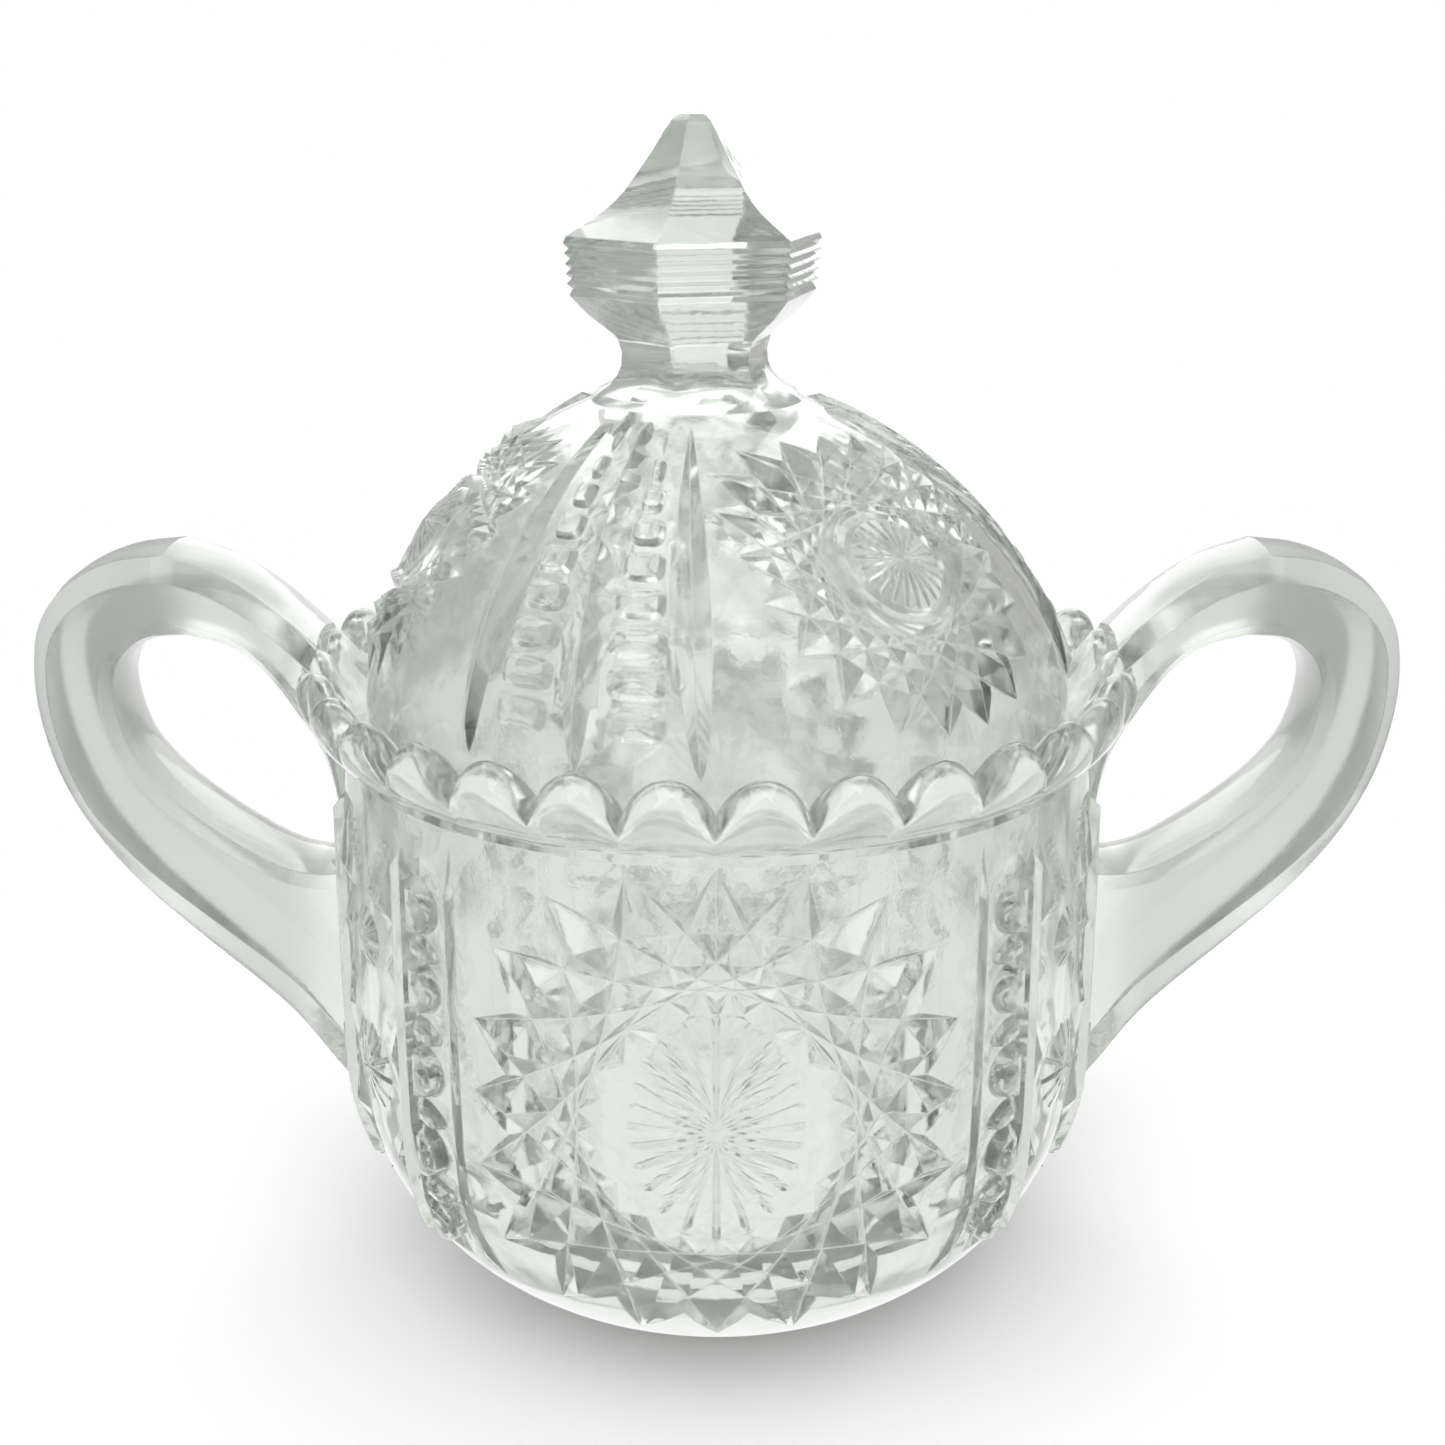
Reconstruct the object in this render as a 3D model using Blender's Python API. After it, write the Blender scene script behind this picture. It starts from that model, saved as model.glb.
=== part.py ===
"""Two-handled covered bowl in pressed clear glass.

The bowl is one pressing with its scalloped collar and its two ear handles. The lid is a second pressing
with its six-sided finial, and rests on a ledge inside the collar. The bowl has a star panel front and back.
Between a star and a handle there are half-moon pads with rungs, and a chain of rosettes between two crests.
The dome of the lid has three stars, and between them three groups of ladder bands framed by pointed ribs.
"""

import math

import bmesh
import bpy
from mathutils import Vector
from mathutils.geometry import delaunay_2d_cdt

MM = 0.001
HALF_TURN = math.pi

# The bowl's sizes follow from the ledge that the lid sits on
SEAT_R = 52.0 * MM
LEDGE_WIDTH = 3.0 * MM
WALL = 7.0 * MM
WALL_LEAN = 1.0 * MM
BASE_INSET = 19.5 * MM
FLOOR_INSET = 5.5 * MM
FLOOR_Z = 7.0 * MM
SHOULDER_Z = 33.0 * MM
SHOULDER_WALL = 3.0 * MM
FOOT_WIDTH = 6.5 * MM
FOOT_HOLLOW = 1.2 * MM
BORE_R = SEAT_R - LEDGE_WIDTH
WALL_R = BORE_R + WALL
BASE_R = WALL_R - BASE_INSET
FLOOR_R = BASE_R - FLOOR_INSET

# Scalloped collar
RIM_Z = 91.0 * MM
RIM_FLARE = 6.0 * MM
COLLAR_RISE = 9.0 * MM
SEAT_DROP = 7.0 * MM
SCALLOPS = 32
LOBE_ROUND = 0.72
GROOVE_R = WALL_R - WALL_LEAN
GROOVE_Z = RIM_Z - COLLAR_RISE
RIM_R = GROOVE_R + RIM_FLARE
SEAT_Z = RIM_Z - SEAT_DROP

# The collar's section over its rolled edge, out and up from the groove: on a scallop's crown and in a notch
COLLAR_CROWN = (
    (-0.6 * MM, 0.8 * MM),
    (2.6 * MM, 2.9 * MM),
    (5.5 * MM, 7.1 * MM),
    (RIM_FLARE, COLLAR_RISE),
    (5.1 * MM, 11.5 * MM),
    (2.8 * MM, 12.3 * MM),
    (1.0 * MM, 10.7 * MM),
    (-1.4 * MM, 5.0 * MM),
)
COLLAR_NOTCH = (
    (-0.6 * MM, 0.8 * MM),
    (2.0 * MM, 2.3 * MM),
    (3.9 * MM, 4.5 * MM),
    (4.2 * MM, 5.3 * MM),
    (3.5 * MM, 6.6 * MM),
    (2.2 * MM, 7.4 * MM),
    (1.0 * MM, 7.4 * MM),
    (-1.4 * MM, 4.6 * MM),
)

# Handles: the outer and inner outline of one, station by station, out and up from the collar's edge
HANDLE_OUTER = (
    (-10.5 * MM, -3.0 * MM),
    (-6.5 * MM, 1.5 * MM),
    (-1.0 * MM, 7.0 * MM),
    (4.5 * MM, 11.8 * MM),
    (10.5 * MM, 15.6 * MM),
    (17.5 * MM, 18.0 * MM),
    (25.5 * MM, 16.9 * MM),
    (32.4 * MM, 13.2 * MM),
    (36.6 * MM, 7.8 * MM),
    (38.2 * MM, 1.0 * MM),
    (38.2 * MM, -6.5 * MM),
    (36.4 * MM, -15.5 * MM),
    (32.4 * MM, -24.5 * MM),
    (26.0 * MM, -33.4 * MM),
    (17.6 * MM, -42.0 * MM),
    (9.6 * MM, -49.6 * MM),
    (3.6 * MM, -56.0 * MM),
    (-1.5 * MM, -63.5 * MM),
    (-7.0 * MM, -71.0 * MM),
)
HANDLE_INNER = (
    (-5.0 * MM, -25.0 * MM),
    (-3.3 * MM, -14.0 * MM),
    (0.5 * MM, -6.5 * MM),
    (4.6 * MM, -0.4 * MM),
    (9.2 * MM, 3.4 * MM),
    (15.4 * MM, 5.1 * MM),
    (21.0 * MM, 4.6 * MM),
    (24.4 * MM, 2.0 * MM),
    (25.8 * MM, -1.2 * MM),
    (26.0 * MM, -4.4 * MM),
    (25.4 * MM, -8.4 * MM),
    (23.8 * MM, -12.8 * MM),
    (20.2 * MM, -17.6 * MM),
    (15.6 * MM, -21.8 * MM),
    (10.0 * MM, -26.0 * MM),
    (4.2 * MM, -29.5 * MM),
    (-1.0 * MM, -30.8 * MM),
    (-6.5 * MM, -30.5 * MM),
    (-12.0 * MM, -31.0 * MM),
)
HANDLE_CREASE = 5
HANDLE_STEPS = 2
HANDLE_DEPTH = 19.0 * MM
HANDLE_FLAT = 4.4 * MM
HANDLE_CROWN = 0.5 * MM
CROWN_MARGIN = 3.3 * MM
CHAMFER = 3.5 * MM
ROOT_CHAMFER = 9.0 * MM
LOWER_ARM = 0.65
FACE_SLOPE = 1.9 * MM
INNER_BEVEL = 2.2 * MM
INNER_FLAT = 6.0 * MM

# Star panels
STAR_TIPS = 20
STAR_SQUARENESS = 2.6
CUT_STEPS = 3
CUT_RUN = 0.16
CUT_SLOPE = 0.8
CUT_MARGIN = 1.6 * MM
STAR_Z = 45.8 * MM
STAR_WIDTH = 68.6 * MM
STAR_DOWN = 38.0 * MM
STAR_MARGIN = 3.0 * MM
STAR_SPAN = 6
STAR_BOW = 2.8 * MM
STAR_SIDE_BOW = 4.4 * MM
CUT_DEPTH = 1.1 * MM
BOSS_WIDTH = 24.8 * MM
BOSS_HEIGHT = 34.0 * MM
BOSS_RISE = 0.9 * MM
BOSS_EDGE = 0.5 * MM
BOSS_RAYS = 24
RAY_DEPTH = 0.55 * MM
BOSS_RINGS = (1.0, 0.5)

# Bands between the stars and the handles, in angles from the front and lengths up the wall's curve
RIDGE_ANGLE = math.radians(38.5)
RIDGE_LOW = 20.0 * MM
RIDGE_BEND = 2.6 * MM
RIDGE_TAPER = 6
RIDGE_WIDTH = 1.6 * MM
RIDGE_RISE = 0.6 * MM
CREST_ANGLE = math.radians(48.7)
CREST_LOW = 23.0 * MM
CREST_MARGIN = 7.5 * MM
CREST_WIDTH = 1.9 * MM
CREST_RISE = 1.8 * MM
CREST_GAP = 1.2 * MM
PAD_COUNT = 5
PAD_LOW = 26.8 * MM
PAD_HIGH = 76.0 * MM
PAD_WIDTH = 5.2 * MM
PAD_HEIGHT = 8.4 * MM
PAD_RISE = 1.5 * MM
PAD_TOP = 0.6
PAD_STEPS = 5
RUNG_HEIGHT = 2.4 * MM
RUNG_RISE = 1.1 * MM
CHAIN_ANGLE = math.radians(60.9)
ROSETTES = ((66.6 * MM, 4.4 * MM), (46.5 * MM, 6.4 * MM))
ROSETTE_RISE = 1.0 * MM
ROSETTE_RAYS = 6
ROSETTE_RINGS = (1.0, 0.5)
HALF_DIAMONDS = (
    (61.6 * MM, 69.6 * MM, 4.0 * MM),
    (44.6 * MM, 60.4 * MM, 5.2 * MM),
    (29.0 * MM, 43.4 * MM, 5.8 * MM),
)
DIAMOND_RISE = 1.3 * MM
DIAMOND_PEAK = 0.3
ARCH_FOOT = 71.0 * MM
ARCH_HEIGHT = 13.0 * MM
ARCH_WIDTH = 7.8 * MM
ARCH_RISE = 1.6 * MM
TEETH_ANGLE = math.radians(77.3)
TEETH = 12
TEETH_LOW = 11.0 * MM
TEETH_HIGH = 44.0 * MM
TOOTH_WIDTH = 5.8 * MM
TOOTH_HEIGHT = 2.6 * MM
TOOTH_RISE = 1.9 * MM

# Lid
LID_CLEARANCE = 0.6 * MM
SEAT_GAP = 0.3 * MM
LID_EDGE = 3.0 * MM
LID_WALL = 4.2 * MM
DOME_RISE = 48.7 * MM
DOME_POWER = 1.75
DOME_CROWN = 6.0 * MM
DOME_GROUPS = 3
LID_TURN = math.radians(40.0)
LID_STAR_HEIGHT = 29.3 * MM
LID_STAR_WIDTH = 43.2 * MM
LID_STAR_UP = 22.5 * MM
LID_STAR_DOWN = 23.3 * MM
LID_STAR_SPAN = 7
LID_STAR_TURN = 0.5
LID_CUT_DEPTH = 0.9 * MM
LID_BOSS = 13.4 * MM
LID_BOSS_RISE = 0.9 * MM
LID_BOSS_EDGE = 0.1 * MM
LID_BOSS_RAYS = 10
LID_BOSS_RINGS = (1.0, 0.5)
MOAT_WIDTH = 2.3 * MM
MOAT_DEPTH = 0.7 * MM
MOAT_LOW = 0.3
SPEAR_ANGLE = math.radians(18.0)
SPEAR_WIDTH = 5.6 * MM
SPEAR_RISE = 1.2 * MM
SPEAR_LOW = 7.0 * MM
SPEAR_MARGIN = 2.0 * MM
SPEAR_SWELL = 0.6
LADDER_PADS = 9
LADDER_WIDTH = 7.6 * MM
LADDER_RISE = 1.0 * MM
LADDER_LOW = 11.0 * MM
LADDER_MARGIN = 5.0 * MM
LADDER_GAP = 0.1

# Finial: its corner radius and rise from the top of the dome's curve, round at the neck, then six-sided
NECK_R = 10.5 * MM
NECK_SPREAD = 4.5 * MM
NECK = ((14.0 * MM, 1.2 * MM, 0.0), (12.3 * MM, 2.3 * MM, 0.3), (11.2 * MM, 3.5 * MM, 0.7))
BULB = ((NECK_R, 4.8 * MM), (NECK_R, 6.6 * MM), (11.9 * MM, 9.4 * MM), (15.3 * MM, 12.1 * MM))
BAND_R = 17.6 * MM
BAND_FOOT = 14.6 * MM
BAND_RISE = 6.2 * MM
BAND_FLARE = 0.6 * MM
BAND_RIDGES = 4
BAND_STEP = 0.6 * MM
FLARE = ((18.3 * MM, 21.5 * MM), (17.9 * MM, 22.3 * MM), (14.3 * MM, 24.4 * MM), (11.0 * MM, 26.8 * MM))
CONE = ((9.7 * MM, 28.1 * MM), (4.1 * MM, 35.8 * MM), (2.0 * MM, 37.9 * MM), (0.9 * MM, 38.1 * MM))
FINIAL_TURN = math.radians(-15.0)
FINIAL_LEAN = 3.0 * MM
LEAN_FROM = 0.15

# Facets
RING = 4 * SCALLOPS
EDGE_STEPS = 24
NECK_STEPS = 6
FILL = 8.0 * MM
WELD = 1e-7


class Net:
    """A flat net: points with a height over the surface, and the edges that its facets keep to."""

    def __init__(self):
        self.points = []
        self.heights = []
        self.edges = []

    def point(self, place, height=0.0):
        self.points.append(Vector(place))
        self.heights.append(height)
        return len(self.points) - 1

    def line(self, indices):
        self.edges.extend(zip(indices, indices[1:]))

    def loop(self, indices):
        self.line([*indices, indices[0]])

    def near(self, place, reach):
        """Whether a point or an edge lies within this reach."""
        for point in self.points:
            if (point - place).length < reach:
                return True
        for a, b in self.edges:
            start = self.points[a]
            run = self.points[b] - start
            share = min(1.0, max(0.0, (place - start).dot(run) / max(run.length_squared, WELD**2)))
            if (start + share * run - place).length < reach:
                return True
        return False

    def fill(self, half, length, raised):
        """Points on the plain wall, in staggered rows clear of the edges and of what is raised."""
        rows = round(length / FILL)
        columns = round(2 * half / FILL)
        for i in range(1, rows):
            shift = (i % 2) / 2
            for j in range(columns):
                place = Vector((2 * half * (j + 0.25 + shift) / columns - half, length * i / rows))
                if not raised(place) and not self.near(place, 0.45 * FILL):
                    self.point(place)

    def facets(self):
        """The net's corners as (x, y, height), and its triangles."""
        places, _, faces, origins, _, _ = delaunay_2d_cdt(self.points, self.edges, [], 0, WELD)
        corners = []
        for place, origin in zip(places, origins):
            height = self.heights[origin[0]] if origin else 0.0
            corners.append((place.x, place.y, height))
        return corners, faces


class Profile:
    """The outer curve of a turned wall, by its length from the bottom: radius, height and outward normal."""

    def __init__(self, points):
        self.points = points
        self.lengths = [0.0]
        for (r0, z0), (r1, z1) in zip(points, points[1:]):
            self.lengths.append(self.lengths[-1] + math.hypot(r1 - r0, z1 - z0))
        self.length = self.lengths[-1]

    def span(self, along):
        for i in range(len(self.points) - 2):
            if along < self.lengths[i + 1]:
                return i
        return len(self.points) - 2

    def at(self, along):
        i = self.span(along)
        share = (along - self.lengths[i]) / (self.lengths[i + 1] - self.lengths[i])
        (r0, z0), (r1, z1) = self.points[i], self.points[i + 1]
        radius = r0 + share * (r1 - r0)
        height = z0 + share * (z1 - z0)
        normal = Vector((z1 - z0, r0 - r1)).normalized()
        return radius, height, normal

    def along(self, height):
        """The length at which the curve reaches this height."""
        for i, ((_, z0), (_, z1)) in enumerate(zip(self.points, self.points[1:])):
            if z0 <= height <= z1:
                share = (height - z0) / (z1 - z0)
                return self.lengths[i] + share * (self.lengths[i + 1] - self.lengths[i])
        return self.length

    def place(self, angle, along, rise=0.0):
        """The point at this angle from the front, raised over the wall."""
        radius, height, normal = self.at(along)
        radius += rise * normal.x
        return Vector((radius * math.sin(angle), -radius * math.cos(angle), height + rise * normal.y))


def sweep(low, high, steps):
    return [low + (high - low) * i / steps for i in range(steps + 1)]


def quarter(low, high, steps):
    """An arc from low, an (r, z) corner, that ends upright at high."""
    width = high[0] - low[0]
    rise = high[1] - low[1]
    radius = (width**2 + rise**2) / (2 * width)
    start = math.asin(min(1.0, rise / radius))
    points = []
    for angle in sweep(start, 0.0, steps):
        points.append((high[0] - radius * (1 - math.cos(angle)), high[1] - radius * math.sin(angle)))
    points[0] = low
    return points


def add_object(name, mesh_from, material, location=(0, 0, 0)):
    mesh = bpy.data.meshes.new(name)
    mesh_from.to_mesh(mesh)
    mesh_from.free()
    mesh.materials.append(material)
    obj = bpy.data.objects.new(name, mesh)
    obj.location = location
    bpy.context.scene.collection.objects.link(obj)
    return obj


def shade_facets(obj):
    obj.data.shade_smooth()
    obj.data.set_sharp_from_angle(angle=math.radians(24))


def add_faces(shape, places, faces):
    corners = [shape.verts.new(place) for place in places]
    for face in faces:
        shape.faces.new([corners[i] for i in face])


def add_band(shape, low, high):
    """Facets between two rings, where the second has as many corners as the first, or half."""
    step = len(low) // len(high)
    count = len(low)
    places = [*low, *high]
    faces = []
    for i in range(len(high)):
        after = count + (i + 1) % len(high)
        here = count + i
        first = i * step
        last = (first + step) % count
        if step == 1:
            faces.append((first, last, after, here))
        else:
            faces.append((first, first + 1, here))
            faces.append((first + 1, after, here))
            faces.append((first + 1, last, after))
    add_faces(shape, places, faces)


def ring(radius, height, count):
    return [polar(radius, 2 * HALF_TURN * i / count, height) for i in range(count)]


def polar(radius, angle, height):
    return Vector((radius * math.sin(angle), -radius * math.cos(angle), height))


def add_disc(shape, places):
    add_faces(shape, places, [tuple(range(len(places)))])


def close_up(shape):
    bmesh.ops.remove_doubles(shape, verts=shape.verts, dist=10 * WELD)
    bmesh.ops.recalc_face_normals(shape, faces=shape.faces)


def polygon_size(corners):
    """Middle of a cell and the radius of the circle that about fills it."""
    middle = sum(corners, Vector((0.0, 0.0))) / len(corners)
    pairs = list(zip(corners, corners[1:] + corners[:1]))
    area = abs(sum(a.cross(b) for a, b in pairs)) / 2
    edge = sum((b - a).length for a, b in pairs)
    return middle, 2 * area / edge


def star_reach(angle, star):
    """How far the star reaches at this angle: a rounded square, with its own reach up and down."""
    height = star["up"] if math.sin(angle) > 0 else star["down"]
    across = 2 * abs(math.cos(angle)) / star["width"]
    upright = abs(math.sin(angle)) / height
    return (across**STAR_SQUARENESS + upright**STAR_SQUARENESS) ** (-1 / STAR_SQUARENESS)


def add_boss(net, place, size, rise, edge, rays, rings):
    """An oval button: a low dome from its edge under the wall, with rays cut from its middle to its edge."""
    count = 2 * rays
    for share in rings:
        lift = rise - (rise + edge) * share**2
        depth = RAY_DEPTH if share < 1 else 0.0
        indices = []
        for i in range(count):
            angle = 2 * HALF_TURN * i / count
            spot = share / 2 * Vector((size[0] * math.cos(angle), size[1] * math.sin(angle)))
            indices.append(net.point(place(spot), lift - depth * (i % 2)))
        net.loop(indices)
    net.point(place(Vector((0.0, 0.0))), rise - RAY_DEPTH)


def star_cuts(star):
    """The spots and edges of a star's cuts, each bowed a little towards the middle."""
    angles = [2 * HALF_TURN * ((i + star["turn"]) / STAR_TIPS + 0.25) for i in range(STAR_TIPS)]
    spots = [star_reach(a, star) * Vector((math.cos(a), math.sin(a))) for a in angles]
    cuts = []
    for i in range(STAR_TIPS):
        last = (i + star["span"]) % STAR_TIPS
        inward = -(spots[i] + spots[last]).normalized()
        bow = star["bow"] + (star["side_bow"] - star["bow"]) * inward.x**2
        before = i
        for share in sweep(0.0, 1.0, CUT_STEPS)[1:-1]:
            spots.append(spots[i].lerp(spots[last], share) + 4 * share * (1 - share) * bow * inward)
            cuts.append((before, len(spots) - 1))
            before = len(spots) - 1
        cuts.append((before, last))
    return spots, cuts


def add_star(net, place, star):
    """A star of crossing mitre cuts, with a raised point in each cell round its plain heart.

    Each cut runs from a tip to the one a span further on. place puts a spot of the flat star on the net.
    """
    spots, _, cells, origins, _, _ = delaunay_2d_cdt(*star_cuts(star), [], 3, WELD)
    tips = {i for i, origin in enumerate(origins) if origin and min(origin) < STAR_TIPS}
    depths = []
    for i, spot in enumerate(spots):
        inside = 1 - spot.length / star_reach(math.atan2(spot.y, spot.x), star)
        depths.append(0.0 if i in tips else star["depth"] * min(1.0, max(0.0, inside / CUT_RUN)))
    nodes = [net.point(place(spot), -depth) for spot, depth in zip(spots, depths)]
    heart = max(cells, key=lambda cell: polygon_size([spots[i] for i in cell])[1])
    owners = {}
    for cell in cells:
        for a, b in zip(cell, [*cell[1:], cell[0]]):
            owners.setdefault((min(a, b), max(a, b)), []).append(cell)
        net.loop([nodes[i] for i in cell])
        if cell is heart:
            continue
        middle, radius = polygon_size([spots[i] for i in cell])
        low = sum(depths[i] for i in cell) / len(cell)
        point = net.point(place(middle), CUT_SLOPE * radius - low)
        for i in cell:
            net.line([nodes[i], point])
    # outside the star the cuts run out on the plain wall
    shoulders = {}
    for edge, cells_beside in owners.items():
        if len(cells_beside) > 1:
            continue
        for i in edge:
            if i not in shoulders:
                outside = spots[i] + spots[i].normalized() * CUT_MARGIN * depths[i] / star["depth"]
                shoulders[i] = nodes[i] if i in tips else net.point(place(outside))
        net.line([shoulders[i] for i in edge])


def add_rib(net, route, width, rise, swell=0.0):
    """A rib with a sharp crest and pointed ends along a route. With a swell it is widest at its middle."""
    steps = len(route) - 1
    route = [Vector(spot) for spot in route]
    crest = [net.point(spot, rise if 0 < i < steps else 0.0) for i, spot in enumerate(route)]
    net.line(crest)
    for side in (-0.5, 0.5):
        foot = []
        for i in range(1, steps):
            ahead = (route[i + 1] - route[i - 1]).normalized()
            reach = side * width * math.sin(HALF_TURN * i / steps) ** swell
            foot.append(net.point(route[i] + reach * Vector((-ahead.y, ahead.x))))
        net.line([crest[0], *foot, crest[-1]])


def add_pad(net, outline, rise):
    """A pillow: its outline at the foot and a smaller flat top."""
    outline = [Vector(spot) for spot in outline]
    middle = sum(outline, Vector((0.0, 0.0))) / len(outline)
    net.loop([net.point(spot) for spot in outline])
    net.loop([net.point(middle.lerp(spot, PAD_TOP), rise) for spot in outline])


def add_facet(net, corners, peak, rise):
    """A cell with one raised point."""
    top = net.point(peak, rise)
    indices = [net.point(spot) for spot in corners]
    net.loop(indices)
    for i in indices:
        net.line([i, top])


def add_columns(net, side, length):
    """The bands between a star panel and a handle.

    From the panel out: a thin ridge, half-moon pads with rungs between them, and a sharp crest. A chain of
    rosettes follows, with half diamonds and pointed arches on both sides, a second crest, and a row of teeth.
    """
    ridge, crest, chain, teeth = (WALL_R * a for a in (RIDGE_ANGLE, CREST_ANGLE, CHAIN_ANGLE, TEETH_ANGLE))
    edge = crest - CREST_GAP
    face = crest + CREST_GAP

    def at(x, y):
        return Vector((side * x, y))

    rows = round(length / FILL)
    stations = sweep(RIDGE_LOW, length - CREST_MARGIN / 2, rows)
    bends = [RIDGE_BEND * (1 - i / rows) ** RIDGE_TAPER for i in range(rows + 1)]
    route = [at(ridge - bend, y) for bend, y in zip(bends, stations)]
    add_rib(net, route, RIDGE_WIDTH, RIDGE_RISE)
    pads = sweep(PAD_LOW, PAD_HIGH, PAD_COUNT - 1)
    for y in pads:
        arc = sweep(-HALF_TURN / 2, HALF_TURN / 2, PAD_STEPS)
        outline = [at(edge - PAD_WIDTH * math.cos(a), y + PAD_HEIGHT / 2 * math.sin(a)) for a in arc]
        add_pad(net, outline, PAD_RISE)
    for low, high in zip(pads, pads[1:]):
        y = (low + high) / 2
        half = RUNG_HEIGHT / 2
        tip = edge - PAD_WIDTH
        add_pad(net, [at(edge, y - half), at(tip, y - half), at(tip, y), at(edge, y + half)], RUNG_RISE)
    for flip in (-1, 1):

        def beside(x, y):
            return at(chain + flip * (chain - x), y)

        route = [beside(crest, y) for y in sweep(CREST_LOW, length - CREST_MARGIN, rows)]
        add_rib(net, route, CREST_WIDTH, CREST_RISE)
        for low, high, reach in HALF_DIAMONDS:
            middle = (low + high) / 2
            corners = [beside(face, low), beside(face, high), beside(face + reach, middle)]
            add_facet(net, corners, beside(face + DIAMOND_PEAK * reach, middle), DIAMOND_RISE)
        top = beside(face, ARCH_FOOT + ARCH_HEIGHT)
        corners = [beside(face, ARCH_FOOT), top, beside(face + ARCH_WIDTH, ARCH_FOOT)]
        add_facet(net, corners, sum(corners, Vector((0.0, 0.0))) / 3, ARCH_RISE)
    for y, radius in ROSETTES:
        size = (2 * radius, 2 * radius)

        def on_chain(spot, middle=at(chain, y)):
            return middle + spot

        add_boss(net, on_chain, size, ROSETTE_RISE, 0.0, ROSETTE_RAYS, ROSETTE_RINGS)
    for y in sweep(TEETH_LOW, TEETH_HIGH, TEETH - 1):
        route = [at(teeth + share * TOOTH_WIDTH, y) for share in (-0.5, 0.0, 0.5)]
        add_rib(net, route, TOOTH_HEIGHT, TOOTH_RISE)


def bowl_profile():
    return Profile([*quarter((BASE_R, 0.0), (WALL_R, SHOULDER_Z), 9), (GROOVE_R, GROOVE_Z)])


def wall_net(profile):
    """The front half of the bowl's wall, unrolled: width along the wall across, length of its curve up."""
    net = Net()
    half = WALL_R * HALF_TURN / 2
    steps = RING // 2
    rows = round(profile.length / FILL)
    for station in (0.0, profile.length):
        net.line([net.point((x, station)) for x in sweep(-half, half, steps)])
    for x in (-half, half):
        net.line([net.point((x, station)) for station in sweep(0.0, profile.length, rows)])
    middle = profile.along(STAR_Z)
    star = {
        "width": STAR_WIDTH,
        "up": profile.length - middle - STAR_MARGIN,
        "down": STAR_DOWN,
        "span": STAR_SPAN,
        "turn": 0.0,
        "bow": STAR_BOW,
        "side_bow": STAR_SIDE_BOW,
        "depth": CUT_DEPTH,
    }

    def on_wall(spot):
        return (spot.x, spot.y + middle)

    add_star(net, on_wall, star)
    add_boss(net, on_wall, (BOSS_WIDTH, BOSS_HEIGHT), BOSS_RISE, BOSS_EDGE, BOSS_RAYS, BOSS_RINGS)
    for side in (-1, 1):
        add_columns(net, side, profile.length)
    net.fill(half, profile.length, lambda spot: math.hypot(spot.x, spot.y - middle) < STAR_WIDTH / 2)
    return net


def scallop(angle):
    """How far the edge drops at this angle: 0 on a scallop's crown and 1 in the notch beside it."""
    off = 2 * (angle * SCALLOPS / (2 * HALF_TURN) % 1) - 1
    return (1 - math.sqrt(1 - LOBE_ROUND * off * off)) / (1 - math.sqrt(1 - LOBE_ROUND))


def collar_ring(crown, notch):
    places = []
    for i in range(RING):
        angle = 2 * HALF_TURN * i / RING
        out, up = Vector(crown).lerp(Vector(notch), scallop(angle))
        places.append(polar(GROOVE_R + out, angle, GROOVE_Z + up))
    return places


def make_bowl_shell(profile):
    shape = bmesh.new()
    corners, faces = wall_net(profile).facets()
    for turn in (0.0, HALF_TURN):
        add_faces(shape, [profile.place(x / WALL_R + turn, y, h) for x, y, h in corners], faces)

    # collar: from the groove over the scalloped edge and down its inner side to the ledge
    rings = [ring(GROOVE_R, GROOVE_Z, RING)]
    rings += [collar_ring(crown, notch) for crown, notch in zip(COLLAR_CROWN, COLLAR_NOTCH)]
    rings.append(ring(SEAT_R, SEAT_Z, RING // 2))
    rings.append(ring(BORE_R, SEAT_Z, RING // 2))
    shoulder = SHOULDER_Z + SHOULDER_WALL
    for radius, height in reversed(quarter((FLOOR_R, FLOOR_Z), (BORE_R, shoulder), 5)):
        rings.append(ring(radius, height, RING // 2))
    for low, high in zip(rings, rings[1:]):
        add_band(shape, low, high)
    add_disc(shape, rings[-1])

    # foot: a flat ring round a slight hollow
    foot = BASE_R - FOOT_WIDTH
    under = [
        ring(BASE_R, 0.0, RING),
        ring(foot, 0.0, RING // 2),
        ring(foot - FOOT_HOLLOW, FOOT_HOLLOW, RING // 2),
    ]
    for low, high in zip(under, under[1:]):
        add_band(shape, low, high)
    add_disc(shape, under[-1])
    close_up(shape)
    return shape


def spline(points, steps):
    """Points on a smooth curve through these, with a step count between each two."""
    ends = [2 * points[0] - points[1], *points, 2 * points[-1] - points[-2]]
    curve = []
    for a, b, c, d in zip(ends, ends[1:], ends[2:], ends[3:]):
        for i in range(steps):
            t = i / steps
            bend = t * t * (2 * a - 5 * b + 4 * c - d)
            twist = t**3 * (3 * b - 3 * c + d - a)
            curve.append(b + (t * (c - a) + bend + twist) / 2)
    return [*curve, points[-1]]


def handle_outline(points):
    """A smooth curve through an outline's points, with a crease at the top of the handle."""
    spots = [Vector((RIM_R + out, RIM_Z + up)) for out, up in points]
    top = spline(spots[: HANDLE_CREASE + 1], HANDLE_STEPS)
    return [*top[:-1], *spline(spots[HANDLE_CREASE:], HANDLE_STEPS)]


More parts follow.
